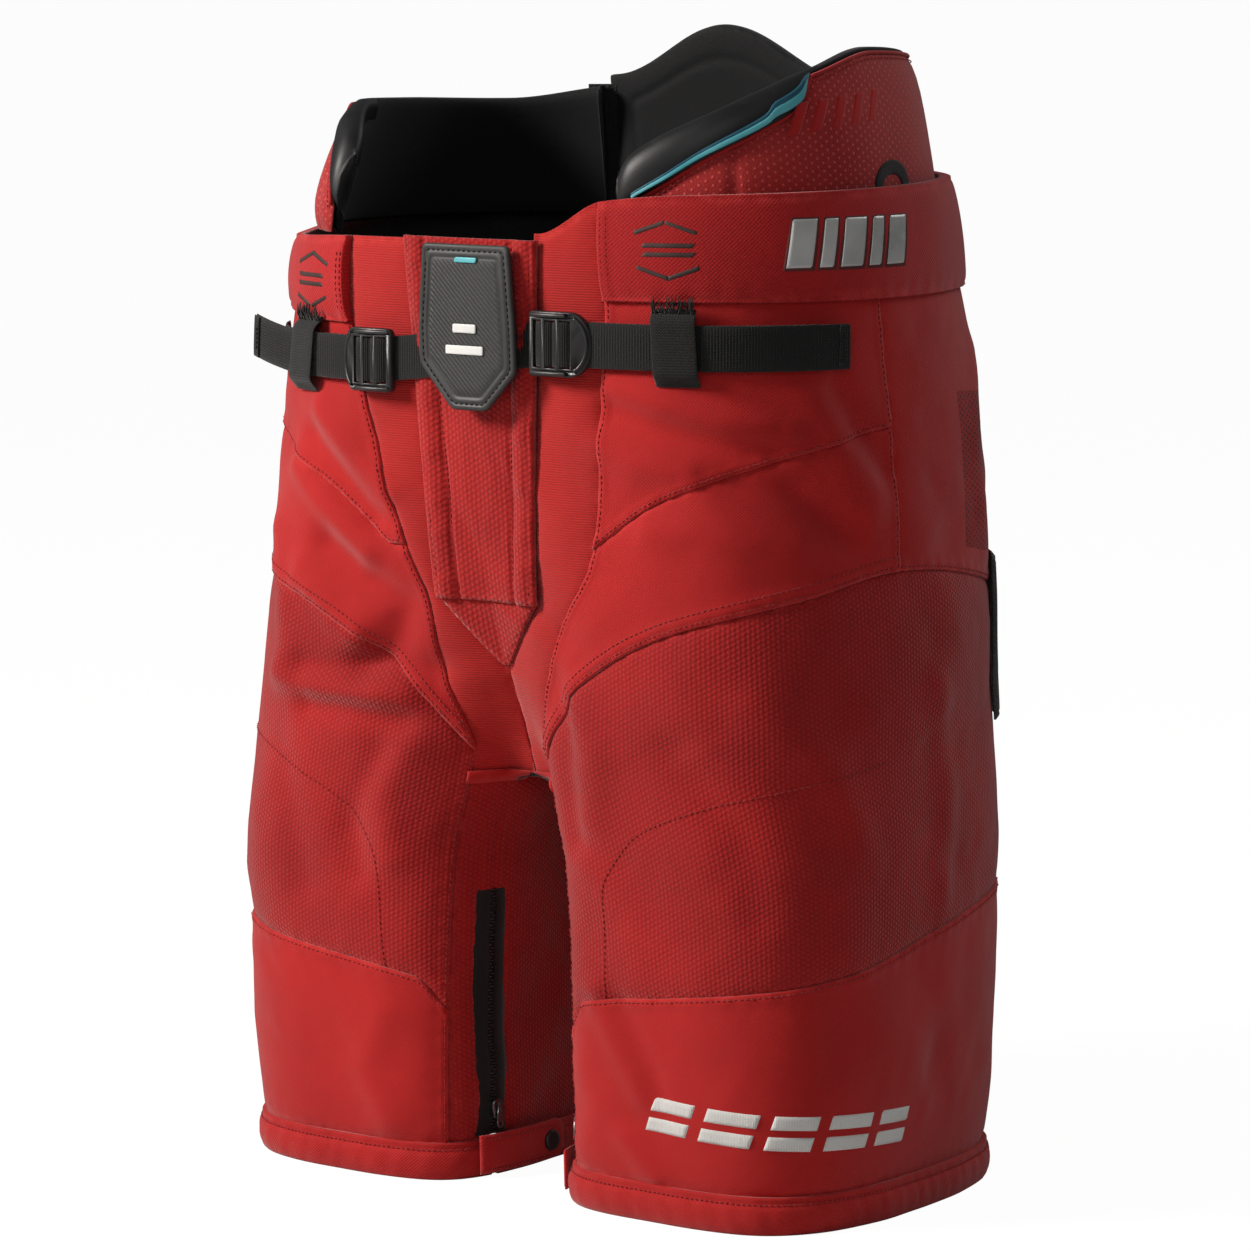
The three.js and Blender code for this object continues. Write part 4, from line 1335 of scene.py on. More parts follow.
def add_fly(paints):
    u, v = np.linspace(-1, 1, 61)[:, None], np.linspace(0, 1, 100)[None]
    z = FLY_BOTTOM_Z - 1 + (BAND_FRONT_Z - FLY_BOTTOM_Z + 1) * v + 0 * u
    half = fly_half(np.maximum(z, FLY_BOTTOM_Z))
    x = half * u
    margin = half - np.abs(x)
    channel = 1.5 * np.exp(-(((margin - 8) / 5) ** 2)) - 2.0 * np.exp(-(((margin - 16) / 1.6) ** 2))
    edge = -1.4 * np.exp(-((margin / 1.2) ** 2)) - 0.7 * np.exp(-(((margin - 3.2) / 0.9) ** 2))
    bottom = (
        -1.2 * np.exp(-(((z - FLY_BOTTOM_Z) / 1.5) ** 2))
        - 0.6 * np.exp(-(((z - FLY_BOTTOM_Z - 6) / 1.0) ** 2))
    )
    sides = np.where(margin < 16, 1.0, 0.3)
    crumple = 0.8 * sides * ripple(z / 4.2 + np.sign(x) * 2, 2.0) * np.exp(-(((margin - 8) / 6) ** 2))
    drape_fly = 1.5 * ripple(z / 26 + x / 50, 1.0) + 0.6 * ripple(z / 11 + x / 14, 3.0)
    lift = 3.0 + channel + edge + bottom + crumple + drape_fly * np.clip(margin / 12, 0.2, 1)
    build = Build()
    cloth = np.stack([x, z, np.minimum(margin, z - FLY_BOTTOM_Z)], -1)
    build.shell(front_grid(x, z, lift), front_grid(x, z, lift - 3.2), (0, 1), cloth)
    row = np.linspace(FLY_BOTTOM_Z + 3, BAND_FRONT_Z - 2, 160)
    for way in (-1, 1):
        for inset_row in (3.2, 16):
            x_row = way * (fly_half(row) - inset_row)
            rise = 2.9 + 1.5 * ripple(row / 26 + x_row / 50, 1.0) * 0.5 - (1.4 if inset_row > 10 else 0.2)
            normal = outward(np.radians(angle_at(np.abs(x_row), row, True)), row) * [way, 1, 1]
            build.stitches(front_grid(x_row, row, rise), normal, 2)
    piece = build.make("fly_cloth", "left", [paints["mesh"], paints["lining"], paints["thread"]], "mesh")
    sewn = (margin < 4) | (np.abs(margin - 16) < 1.5) | (z < FLY_BOTTOM_Z + 7) | (z > BAND_FRONT_Z - 4)
    puff_out(piece, build.shape, sewn, 0.0018)
    settle(piece, "pants", ["fly_flap"])
    # The mesh triangle under the fly.
    u, v = np.linspace(-1, 1, 31)[:, None], np.linspace(0, 1, 24)[None]
    z = GUSSET_TIP_Z + 3 + (FLY_BOTTOM_Z - GUSSET_TIP_Z - 2) * v + 0 * u
    half = np.maximum(fly_half(np.minimum(z, FLY_BOTTOM_Z - 0.01)) - 0.5, 0.5)
    x = half * u
    lift = 0.7 - 1.2 * np.exp(-(((half - np.abs(x)) / 2.5) ** 2)) + 0.5 * ripple(z / 6 + x / 8, 1.0)
    build = Build()
    build.shell(
        front_grid(x, z, lift), front_grid(x, z, lift - 2), (0, 1),
        np.stack([x, z, half - np.abs(x)], -1),
    )
    piece = build.make("front_gusset_mesh", "left", [paints["mesh"], paints["lining"]], "mesh")
    settle(piece, "pants", ["front_gusset"])


def add_crotch(paints):
    u, v = np.linspace(-1, 1, 15)[:, None], np.linspace(0, 1, 60)[None]
    y = -80 + 170 * v + 0 * u
    x = 13 * u + 0 * v
    z = 237.5 + 2.5 * np.sin(math.pi * v) - 3.5 * u**2 + 0.5 * ripple(y / 6, 1.0)
    lower, upper = np.stack([x, y, z], -1), np.stack([x, y, z + 2.4], -1)
    build = Build()
    build.shell(upper, lower, (1, 0), np.stack([x, y, 13 - np.abs(x)], -1))
    piece = build.make("crotch_gusset_mesh", "left", [paints["knee"], paints["lining"]], "mesh")
    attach(piece, "pants")
    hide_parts("crotch_gusset")


def add_crotch_seams(paints):
    """Bound seams where the trunk's front and back run into each leg."""
    for side in SIDES:
        build = Build()
        for start, stop in (
            (front_centre(CROTCH_Z - 1.0), STRETCH_SEAM[side](237.0) + 1),
            (118.0, back_centre(CROTCH_Z - 1.0)),
        ):
            t = np.linspace(float(start), float(stop), 40)
            upper, lower = skin(t, CROTCH_Z + 4.0, -0.4), skin(t, CROTCH_Z - 4.0, -0.4)
            edge = skin(t, CROTCH_Z + 4.0, 0.8)
            share = np.linspace(0, 1, 8)[None, :, None]
            rise = outward(np.radians(t), CROTCH_Z - 4.0 + 0 * t)[:, None] * (1.6 * np.sin(math.pi * share))
            outer = lower[:, None] * (1 - share) + edge[:, None] * share + rise
            inner = lower[:, None] * (1 - share) + upper[:, None] * share - rise * 0.5
            cloth = np.stack(
                [around(t)[:, None] + 0 * outer[..., 2], outer[..., 2], 2 + 0 * outer[..., 2]], -1,
            )
            build.shell(outer, inner, (0, 1), cloth)
        piece = build.make(f"{side}_crotch_seam", side, [paints["binding"], paints["lining"]], "binding")
        crease(piece)


def rounded(outline, radius=2.0, spacing=1.2):
    """A closed outline with its corners cut round, as evenly spaced points."""
    outline = np.asarray(outline, float)
    points = []
    for k in range(len(outline)):
        before, corner, after = outline[k - 1], outline[k], outline[(k + 1) % len(outline)]
        a = corner + (before - corner) / np.linalg.norm(before - corner) * radius
        b = corner + (after - corner) / np.linalg.norm(after - corner) * radius
        for share in np.linspace(0, 1, 5):
            points.append((1 - share) ** 2 * a + 2 * share * (1 - share) * corner + share**2 * b)
    points = np.array(points + [points[0]])
    run = np.concatenate([[0], np.cumsum(np.linalg.norm(np.diff(points, axis=0), axis=1))])
    at = np.arange(0, run[-1] - spacing / 2, spacing)
    return np.stack([np.interp(at, run, points[:, k]) for k in range(2)], -1)


def inset(outline, distance):
    """The outline moved inwards by a distance."""
    ahead = np.roll(outline, -1, 0) - np.roll(outline, 1, 0)
    ahead /= np.linalg.norm(ahead, axis=1, keepdims=True)
    normal = np.stack([-ahead[:, 1], ahead[:, 0]], -1)
    centre = outline.mean(0)
    flip = np.sign(((centre - outline) * normal).sum())
    return outline + normal * flip * distance


def ring(corners, distance, radius, count):
    """The polygon moved inwards with its corners kept true, cut round, as a fixed number of points."""
    corners = np.asarray(corners, float)
    moved = []
    centre = corners.mean(0)
    for k in range(len(corners)):
        lines = []
        for a, b in ((corners[k - 1], corners[k]), (corners[k], corners[(k + 1) % len(corners)])):
            normal = np.array([-(b - a)[1], (b - a)[0]]) / np.linalg.norm(b - a)
            normal *= np.sign((centre - a) @ normal)
            lines.append((normal, normal @ a + distance))
        moved.append(np.linalg.solve(np.array([n for n, _ in lines]), np.array([c for _, c in lines])))
    loop = rounded(moved, radius, 0.3)
    loop = np.concatenate([loop, loop[:1]])
    run = np.concatenate([[0], np.cumsum(np.linalg.norm(np.diff(loop, axis=0), axis=1))])
    at = np.linspace(0, run[-1], count, endpoint=False)
    return np.stack([np.interp(at, run, loop[:, k]) for k in range(2)], -1)


def add_patch(paints):
    """The moulded shield over the fly: a border with a stitched groove round a ribbed field."""
    corners = [(-31, 545), (29, 545), (33, 500), (34, 475), (14, 453), (-10, 453), (-33, 478), (-34, 498)]
    outline = ring(corners, 0, 3, 220)
    rings = [
        (0.0, 0.0), (0.0, 1.6), (0.7, 2.5), (2.6, 2.7), (3.1, 2.2), (3.9, 2.2), (4.4, 2.7), (6.4, 2.9),
        (7.0, 2.2), (7.8, 2.2), (8.6, 2.6),
    ]
    field = [0.9, 0.7, 0.45, 0.2]
    centre = outline.mean(0)
    last = ring(corners, rings[-1][0], 2, 220)
    loops = (
        [(ring(corners, d, 3 - 0.1 * d, 220), h) for d, h in rings]
        + [(centre + (last - centre) * k, 2.6) for k in field]
    )

    def lay(loop, height):
        x = 5 + loop[:, 0]
        return np.stack([x, -148.6 - height + 0.0009 * (loop[:, 0]) ** 2, loop[:, 1]], -1)

    points = np.stack([lay(loop, h) for loop, h in loops], 1)
    build = Build()
    cloth = np.stack([points[..., 0], points[..., 2], 50 + 0 * points[..., 0]], -1)
    build.grid(points, 0, cloth, closed=True)
    n, m = len(outline), len(loops)
    for index in range(n * (m - 1)):
        if index % (m - 1) < len(rings) - 1:
            build.parts[index] = 1
    build.cap(0, n, m, (0, 1))
    seam = lay(ring(corners, 3.5, 2.6, 220), 2.4)
    seam = np.concatenate([seam, seam[:1]])
    build.stitches(seam, np.broadcast_to([0, -1.0, 0], seam.shape), 2, pitch=3.6, length=2.4, radius=0.45)
    piece = build.make(
        "shield_patch", "left", [paints["rubber"], paints["patch_edge"], paints["black_thread"]],
        "rubber",
    )
    settle(piece, "pants", ["front_patch"])
    # A plain mark of two level bars of unequal width, and a short coloured bar near the top.
    for name, paint, bars in (
        ("patch_mark", "white", [slanted(-13, 484, 26, 5, 0), slanted(-8, 496, 16, 5, 0)]),
        ("patch_bar", "teal", [[(-6, 538), (9, 538), (8, 535), (-7, 535)]]),
    ):
        build = Build()
        for bar in bars:
            loop = rounded(bar, 0.9, 0.7)
            levels = [(0, 0.0), (0, 0.5), (0.35, 0.8), (0.8, 0.85)]
            rows = np.stack([lay(inset(loop, d), 2.9 + h) for d, h in levels], 1)
            start, size = build.count, len(levels)
            build.grid(rows, 0, closed=True)
            build.cap(start, len(loop), size)
        piece = build.make(name, "left", [paints[paint]], "rubber")
        settle(piece, "pants")


# ------------------------------------------------------------------ belt
RIB = 1.7                      # spacing of the webbing's cross ribs
WEB_V = np.array([-1, -0.96, -0.86, -0.6, -0.3, 0, 0.3, 0.6, 0.86, 0.96, 1.0])


def ribbon(build, path, up, normal, width=BELT_W, thick=1.3, part=0, rib=RIB, ribbed=True):
    """Webbing along a path: cross ribs on both faces, and thin selvedges."""
    path = np.asarray(path, float)
    run = np.concatenate([[0], np.cumsum(np.linalg.norm(np.diff(path, axis=0), axis=1))])
    at = np.arange(0, run[-1], rib / 4 if ribbed else 2.0)
    at = np.append(at, run[-1])

    def sample(values):
        values = np.broadcast_to(np.asarray(values, float), path.shape)
        return np.stack([np.interp(at, run, values[:, k]) for k in range(3)], -1)

    p, up, normal = sample(path), sample(up), sample(normal)
    ridge = 0.22 * np.sin(2 * math.pi * at / rib) if ribbed else 0 * at
    half = (thick / 2) * np.sqrt(np.clip(1 - np.abs(WEB_V) ** 8, 0.12, 1))
    across = p[:, None] + up[:, None] * (WEB_V * width / 2)[None, :, None]
    rise = half[None] + ridge[:, None] * (1 - np.abs(WEB_V[None]) ** 6)
    cloth = np.stack([at[:, None] + 0 * rise, WEB_V[None] * width / 2 + 0 * rise, 50 + 0 * rise], -1)
    build.shell(
        across + normal[:, None] * rise[..., None], across - normal[:, None] * rise[..., None],
        (part, part), cloth,
    )


def surface_frame(t, z, lift):
    """Origin, and unit vectors along increasing t, up, and out of the surface."""
    p = skin(t, z, lift)
    q = skin(t + 0.5, z, lift)
    x = (q - p) * [1, 1, 0]
    x = x / np.linalg.norm(x)
    up = np.array([0, 0, 1.0])
    return p, x, up, np.cross(x, up)


def belt_path(t, z, depth):
    """A path along the belt line; depth is under the surface, as in the CAD."""
    t, depth = np.asarray(t, float), np.asarray(depth, float)
    return skin(t, z + 0 * t, -depth), outward(np.radians(t), z + 0 * t)


def add_belt(paints):
    for side in SIDES:
        z, loop_t = BELT_Z[side], LOOP_T[side]
        # Inner layer forward from the hip, round the buckle's bar and back over itself.
        forward_t = np.linspace(STRAP_BACK_T, loop_t, 90)
        turn = np.linspace(0, math.pi, 12)[1:-1]
        turn_t = loop_t - 1.3 * np.sin(turn)
        turn_depth = -3.4 + 1.6 * np.cos(turn)
        back_t = np.linspace(loop_t, KEEPER_T + KEEPER_HALF - 3, 50)
        t = np.concatenate([forward_t, turn_t, back_t])
        depth = np.concatenate([np.full(90, -1.8), turn_depth, np.full(50, -5.0)])
        path, _ = belt_path(t, z, depth)
        tangent = np.gradient(path, axis=0)
        normal = np.cross(tangent, [0, 0, 1.0])
        normal /= np.linalg.norm(normal, axis=1, keepdims=True)
        build = Build()
        ribbon(build, path, (0, 0, 1), -normal)
        piece = build.make(f"{side}_strap_webbing", side, [paints["webbing"]], "webbing")
        settle(piece, "pants", [f"{side}_belt_strap"])
        add_tail(side, z, paints)
        add_keeper(side, z, paints)
        add_buckle(side, z, paints)
    add_centre_webbing(paints)


def add_tail(side, z, paints):
    build = Build()
    if side == "left":
        t = np.linspace(KEEPER_T + KEEPER_HALF + 0.2, -30, 90)
        depth = -5 - 0.8 * np.sin(np.linspace(0, math.pi, 90))
        path, out = belt_path(t, z, depth)
        up = np.array([0, 0, 1.0])
        ribbon(build, path, up, out)
        end_path, end_out = path[-8:] + out[-8:] * 1.3, out[-8:]
        ribbon(build, end_path, up, end_out, width=BELT_W - 1)
        rows_at_end = path[-5] + out[-5] * 2.3
        across = rows_at_end + up * np.linspace(-9, 9, 20)[:, None]
        build.stitches(across, np.broadcast_to(out[-5], across.shape), 1, pitch=2.6, length=1.8)
    else:
        p, x, up, out = surface_frame(KEEPER_T + KEEPER_HALF + 1, z, 5)
        run = np.linspace(0, 54, 60)[:, None]
        tilt, lift = 0.1, 0.06
        along = x * math.cos(tilt) + up * math.sin(tilt) + out * lift
        path = p + along * run + out * 1.5 * np.sin(run / 54 * math.pi)
        across = up * math.cos(tilt) - x * math.sin(tilt)
        ribbon(build, path, across, out)
        ribbon(build, path[-10:] + out * 1.3, across, out, width=BELT_W - 1)
        row = path[-8] + out * 2.3 + across * np.linspace(-8, 8, 20)[:, None]
        build.stitches(row, np.broadcast_to(out, row.shape), 1, pitch=2.6, length=1.8)
    piece = build.make(f"{side}_tail_webbing", side, [paints["webbing"], paints["black_thread"]], "webbing")
    settle(piece, f"{side}_belt_tail", [f"{side}_belt_tail"])


def add_keeper(side, z, paints):
    """A flat loop of webbing over the strap, its upper end cut and frayed."""
    rise_z = np.linspace(z - 21, z + 21, 60)
    share = (rise_z - (z - 21)) / 42
    lift = 1.0 + 6.6 * np.minimum(1, np.minimum(7 * share, 7 * (1 - share)))
    lift = np.convolve(np.pad(lift, 3, mode="edge"), np.ones(7) / 7, "valid")
    path = skin(KEEPER_T + 0 * rise_z, rise_z, lift)
    _, x, up, out = surface_frame(KEEPER_T, z, 0)
    ahead = np.gradient(path, axis=0)
    normal = np.cross(x, ahead)
    normal /= np.linalg.norm(normal, axis=1, keepdims=True)
    build = Build()
    ribbon(build, path, x, normal, width=25, thick=1.4, rib=1.5)
    frays = np.random.default_rng(5)
    for _ in range(46):
        shift = frays.uniform(-12, 12)
        base = path[-4] + x * shift + out * frays.uniform(0, 1.2)
        bend = x * frays.uniform(-3, 3) + up * frays.uniform(4.0, 10.0) + out * frays.uniform(0, 2.5)
        strand = np.array([base, base + bend * 0.5 + out * 0.8, base + bend])
        build.tube(strand, [0.45, 0.4, 0.2], 0, 5, up=(0.3, 1, 0.2))
    piece = build.make(f"{side}_keeper_webbing", side, [paints["webbing"]], "webbing")
    settle(piece, "pants", [f"{side}_belt_keeper"])


def arc(cx, cy, rx, ry, start, stop, count):
    a = np.radians(np.linspace(start, stop, count))
    return [(cx + rx * math.cos(k), cy + ry * math.sin(k)) for k in a]


def plate(outline, holes, thickness, bevel):
    """A flat plate with holes and rounded edges, as a mesh centred on its own plane."""
    curve = bpy.data.curves.new("plate", "CURVE")
    curve.dimensions, curve.fill_mode = "2D", "BOTH"
    curve.extrude, curve.bevel_depth, curve.bevel_resolution = thickness / 2 - bevel, bevel, 2
    curve.offset = -bevel
    for loop in [outline, *holes]:
        spline = curve.splines.new("POLY")
        spline.points.add(len(loop) - 1)
        for point, (x, y) in zip(spline.points, loop):
            point.co = (x, y, 0, 1)
        spline.use_cyclic_u = True
    holder = bpy.data.objects.new("plate", curve)
    SCENE.collection.objects.link(holder)
    bpy.context.view_layer.update()
    mesh = bpy.data.meshes.new_from_object(holder.evaluated_get(bpy.context.evaluated_depsgraph_get()))
    bpy.data.objects.remove(holder)
    bpy.data.curves.remove(curve)
    points = np.zeros(len(mesh.vertices) * 3)
    mesh.vertices.foreach_get("co", points)
    faces = [list(p.vertices) for p in mesh.polygons]
    bpy.data.meshes.remove(mesh)
    return points.reshape(-1, 3), faces


def add_buckle(side, z, paints):
    """A ladder-lock buckle: rounded frame, wide lip, and webbing humped over its two bars."""
    origin, x, up, out = surface_frame(BUCKLE_T[side], z, 9.6)
    w, h = 34, 36
    outline = [(-w / 2, -h / 2 + 3), (-w / 2 + 1, -h / 2 + 0.8), (-w / 2 + 3, -h / 2)]
    outline += arc(w / 2 - 6, 0, 12, h / 2, -90, 90, 17)
    outline += [(-w / 2 + 3, h / 2), (-w / 2 + 1, h / 2 - 0.8), (-w / 2, h / 2 - 3)]
    holes = [[(a, -13), (b, -13.2), (b, 13), (a, 13.2)] for a, b in ((-13.5, -7.2), (-4.6, 2.6), (5.2, 11.4))]
    points, faces = plate(outline, holes, 4.0, 0.9)

    def lay(local):
        local = np.asarray(local, float)
        bow = -0.012 * local[..., 0:1] ** 2
        return origin + x * local[..., 0:1] + up * local[..., 1:2] + out * (local[..., 2:3] + bow)

    build = Build()
    build.add_plate(lay(points), points, faces)
    rail = np.linspace(-15.4, 9, 30)
    for way in (-1, 1):
        path = np.stack([rail, way * (h / 2 - 2.0) + 0 * rail, 1.6 + 0 * rail], -1)
        build.tube(lay(path), 1.3, 0, 8, up=tuple(out))
    lip = np.radians(np.linspace(-70, 70, 30))
    path = np.stack([w / 2 - 7 + 10.5 * np.cos(lip), 15.4 * np.sin(lip), 1.7 + 0 * lip], -1)
    build.tube(lay(path), 1.2, 0, 8, up=tuple(out))
    piece = build.make(f"{side}_ladder_buckle", side, [paints["plastic"]], "buckle")
    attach(piece, f"{side}_buckle")
    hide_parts(f"{side}_buckle")
    across = np.linspace(-13.2, 11.6, 70)
    hump = 2.6 * np.abs(np.sin((across + 13.2) / 24.8 * 2 * math.pi)) ** 0.7
    path = lay(np.stack([across, 0 * across, hump - 1.6], -1))
    build = Build()
    ribbon(build, path, up, out, width=25, thick=1.2, rib=1.3)
    piece = build.make(f"{side}_buckle_webbing", side, [paints["webbing"]], "webbing")
    settle(piece, f"{side}_buckle")


def add_centre_webbing(paints):
    """The middle of the belt, from one buckle to the other behind the patch."""
    share = np.linspace(-1, 1, 160)
    left, right = BELT_Z["left"], BELT_Z["right"]
    size = np.abs(share)
    z = np.where(
        share < 0, (left + right) / 2 + (right - (left + right) / 2) * size,
        (left + right) / 2 + (left - (left + right) / 2) * size,
    )
    stop = np.where(share < 0, BUCKLE_T["right"] - 4, BUCKLE_T["left"] - 4)
    t = front_centre(z) + (stop - front_centre(z)) * size
    p = skin(t, z, 4.2)
    out = outward(np.radians(t), z)
    way = np.sign(share)[:, None]
    p = p * np.concatenate([way, np.ones((160, 2))], 1)
    out = out * np.concatenate([way, np.ones((160, 2))], 1)
    build = Build()
    ribbon(build, p, (0, 0, 1), out)
    piece = build.make("belt_centre_webbing", "left", [paints["webbing"]], "webbing")
    settle(piece, "pants", ["belt_centre"])


# ------------------------------------------------------------------ prints and embroidery
def bars_on(side, place, bars, rise, name, paints_used, slot, body, thick=0.6, edge=0.6):
    """Slanted four-sided bars that follow the surface. Each bar is (material, four corners in mm)."""
    build = Build()
    for part, corners in bars:
        a, b, c, d = [np.array(corner, float) for corner in corners]
        nu = max(int(np.linalg.norm(b - a) / 1.2), 3) + 1
        nv = max(int(np.linalg.norm(d - a) / 1.2), 3) + 1
        u, v = np.linspace(0, 1, nu)[:, None, None], np.linspace(0, 1, nv)[None, :, None]
        flat = (a * (1 - u) + b * u) * (1 - v) + (d * (1 - u) + c * u) * v
        width, height = np.linalg.norm(b - a), np.linalg.norm(d - a)
        inside = np.minimum(np.minimum(u, 1 - u) * width, np.minimum(v, 1 - v) * height)[..., 0]
        crown = thick * np.clip(inside / edge, 0, 1) ** 0.5
        points = place(flat.reshape(-1, 2), (rise + crown).ravel()).reshape(nu, nv, 3)
        below = place(flat.reshape(-1, 2), -0.5 + 0 * crown.ravel()).reshape(nu, nv, 3)
        cloth = np.concatenate([flat, 50 + 0 * flat[..., :1]], -1)
        build.shell(points, below, (part, part), cloth)
    piece = build.make(name, side, paints_used, slot)
    settle(piece, body)
    return piece


def slanted(x, z, width, height, slant=0.45):
    return [
        (x, z), (x + width, z), (x + width + slant * height, z + height),
        (x + slant * height, z + height),
    ]


def surface_place(t0, z0, lift_at, slope=0.0):
    """Maps flat outlines onto the body: x along the surface from t0, y up from z0."""

    def place(points, height):
        z = z0 + points[:, 1] + slope * points[:, 0]
        degree = np.radians(1) * reach(np.radians(t0), z)[1]
        t = t0 + points[:, 0] / degree
        for _ in range(3):
            mean = np.radians(1) * reach(np.radians((t0 + t) / 2), z)[1]
            t = t0 + points[:, 0] / mean
        return skin(t, z, lift_at(t, z) + height)

    return place


def add_marks(paints, panels):
    """Plain slanted-bar motifs in place of lettering: on the band, the lower leg and the left pad."""

    def band_lift(t, z):
        share = np.clip((z - WAIST_SEAM_Z + 1) / 52, 0, 1)
        return 1.2 + 3.2 * np.sin(math.pi * share) ** 0.55 + 0.8 * ripple(around(t) / 26, 3.0)

    place = surface_place(-46, 535, band_lift)
    shapes = [(0, 15), (19, 9), (32, 15), (51, 9), (64, 15)]
    edges = [(0, slanted(x - 1.4, -1.4, width + 2.8, 29.8, 0.22)) for x, width in shapes]
    bars_on("left", place, edges, 0.0, "left_band_mark_edge", [paints["maroon"]], "nylon", "pants", 0.35)
    bars = [(0, slanted(x, 0, width, 27, 0.22)) for x, width in shapes]
    bars_on("left", place, bars, 0.2, "left_band_mark", [paints["silver"]], "nylon", "pants", 0.6)
    lines = []
    for y, way in ((19, 1), (3, -1)):
        lines.append((0, [(2, y), (19, y + 6 * way), (19, y + 8.6 * way), (2, y + 2.6 * way)][::way]))
        lines.append((0, [(19, y + 6 * way), (36, y), (36, y + 2.6 * way), (19, y + 8.6 * way)][::way]))
    lines += [(0, slanted(5, 12.4, 28, 2.6, 0.8)), (0, slanted(5, 7.4, 28, 2.6, 0.8))]
    bars_on(
        "left", surface_place(-83, 534, band_lift), lines, 0.0, "left_band_print", [paints["ink"]],
        "nylon", "pants", 0.3,
    )

    def right_band_lift(t, z):
        share = np.clip((z - 499) / 44, 0, 1)
        return 1.2 + 3.2 * np.sin(math.pi * share) ** 0.55 + 0.8 * ripple(around(t) / 26, 6.0)

    bars_on(
        "right", surface_place(-82, 508, right_band_lift), lines, 0.0, "right_band_print",
        [paints["ink"]], "nylon", "pants", 0.3,
    )
    lower = panels["left", "lower_panel"]
    blocks = []
    for x, width in ((0, 27), (35, 31), (74, 27), (109, 31), (148, 27)):
        blocks.append((0, slanted(x, 0, width, 8, 0.35)))
        blocks.append((0, slanted(x + 4.2, 12, width, 8, 0.35)))
    place = surface_place(-98, 53, lower.lift, slope=-0.055)
    bars_on(
        "left", place, blocks, 0.0, "left_leg_embroidery", [paints["embroidery"]], "nylon", "left_leg",
        1.0, 1.2,
    )

    def pad_lift(t, z):
        return -7.5 + kidney_lean(z) + 1.2 * ripple(around(t) / 30, 1.0) * ripple(z / 25, 2.0)

    tonal = [(0, slanted(x, 0, 8, 17, 0.5)) for x in (0, 15, 30, 45, 60)]
    bars_on(
        "left", surface_place(-40, 606, pad_lift, slope=0.1), tonal, 0.0, "left_pad_emboss",
        [paints["binding"]], "perforated", "pants", 0.5, 1.4,
    )


# ------------------------------------------------------------------ inseam zippers and snap tabs
def add_zippers(paints):
    for side in SIDES:
        wobble = 0.5

        def centre(z):
            return ZIP_T + wobble * ripple(z / 14, 1.0)

        z = np.linspace(ZIP_LOW - 8, CROTCH_Z - 1, 150)
        u = np.linspace(-5.2, 5.2, 9)[:, None]
        t = centre(z)[None] + u
        lift = -2.0 + 1.4 * np.clip((4.4 - np.abs(u)) / 1.5, 0, 1) - 0.8 * np.exp(-((u / 0.6) ** 2)) + 0 * t
        build = Build()
        cloth = np.stack([around(t), z[None] + 0 * t, 50 + 0 * t], -1)
        build.shell(skin(t, z[None] + 0 * t, lift), skin(t, z[None] + 0 * t, lift - 1.4), (0, 0), cloth)
        rows = len(z) - 1
        for index in range(8 * rows):
            if z[index % rows] > ZIP_HIGH + 4:
                build.parts[index] = 2
        teeth_z = np.arange(ZIP_LOW - 4, ZIP_HIGH + 4, 1.9)
        for k, tooth_z in enumerate(teeth_z):
            way = 1 if k % 2 else -1
            p, x, _, out = surface_frame(float(centre(tooth_z)) + 0.25 * way, tooth_z, -0.9)
            path = np.array([p - x * 1.6, p - x * 0.8 + out * 0.7, p + x * 0.8 + out * 0.7, p + x * 1.6])
            build.tube(path, [0.5, 0.65, 0.65, 0.5], 1, 6)
        piece = build.make(
            f"{side}_zipper_chain", side, [paints["webbing"], paints["coil"], paints["knee"]], "coil",
        )
        crease(piece, [f"{side}_zipper"])
        add_slider(side, paints)
        add_tab(side, paints)


def add_slider(side, paints):
    origin, x, up, out = surface_frame(ZIP_T, ZIP_LOW + 8, 3.0)
    outline = [(-3.2, -5.5), (3.2, -5.5)] + arc(0, 1.5, 4, 4, -20, 200, 15)
    points, faces = plate(outline, [], 2.8, 0.7)
    build = Build()
    build.add_plate(origin + points @ np.stack([x, up, out]), points, faces)
    bridge = np.radians(np.linspace(0, 180, 12))
    path = origin + up * (np.cos(bridge) * 3.2)[:, None] + out * (1.0 + np.sin(bridge) * 1.7)[:, None]
    build.tube(path, 0.8, 0, 8, up=tuple(x))
    piece = build.make(f"{side}_slider_metal", side, [paints["metal"]], "metal")
    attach(piece, f"{side}_zip_slider")
    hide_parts(f"{side}_zip_slider")
    origin, x, up, out = surface_frame(ZIP_T, ZIP_LOW + 3.5, 5.6)
    outline = [(-1.6, 7), (-2.4, -3)] + arc(0, -4, 2.4, 3, 180, 360, 11) + [(2.4, -3), (1.6, 7)]
    hole = arc(0, -4.2, 1.1, 1.3, 0, 330, 12)
    points, faces = plate(outline, [hole], 1.3, 0.35)
    build = Build()
    build.add_plate(origin + points @ np.stack([x, up, out]), points, faces)
    piece = build.make(f"{side}_pull_metal", side, [paints["metal"]], "metal")
    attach(piece, f"{side}_zip_pull")
    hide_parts(f"{side}_zip_pull")


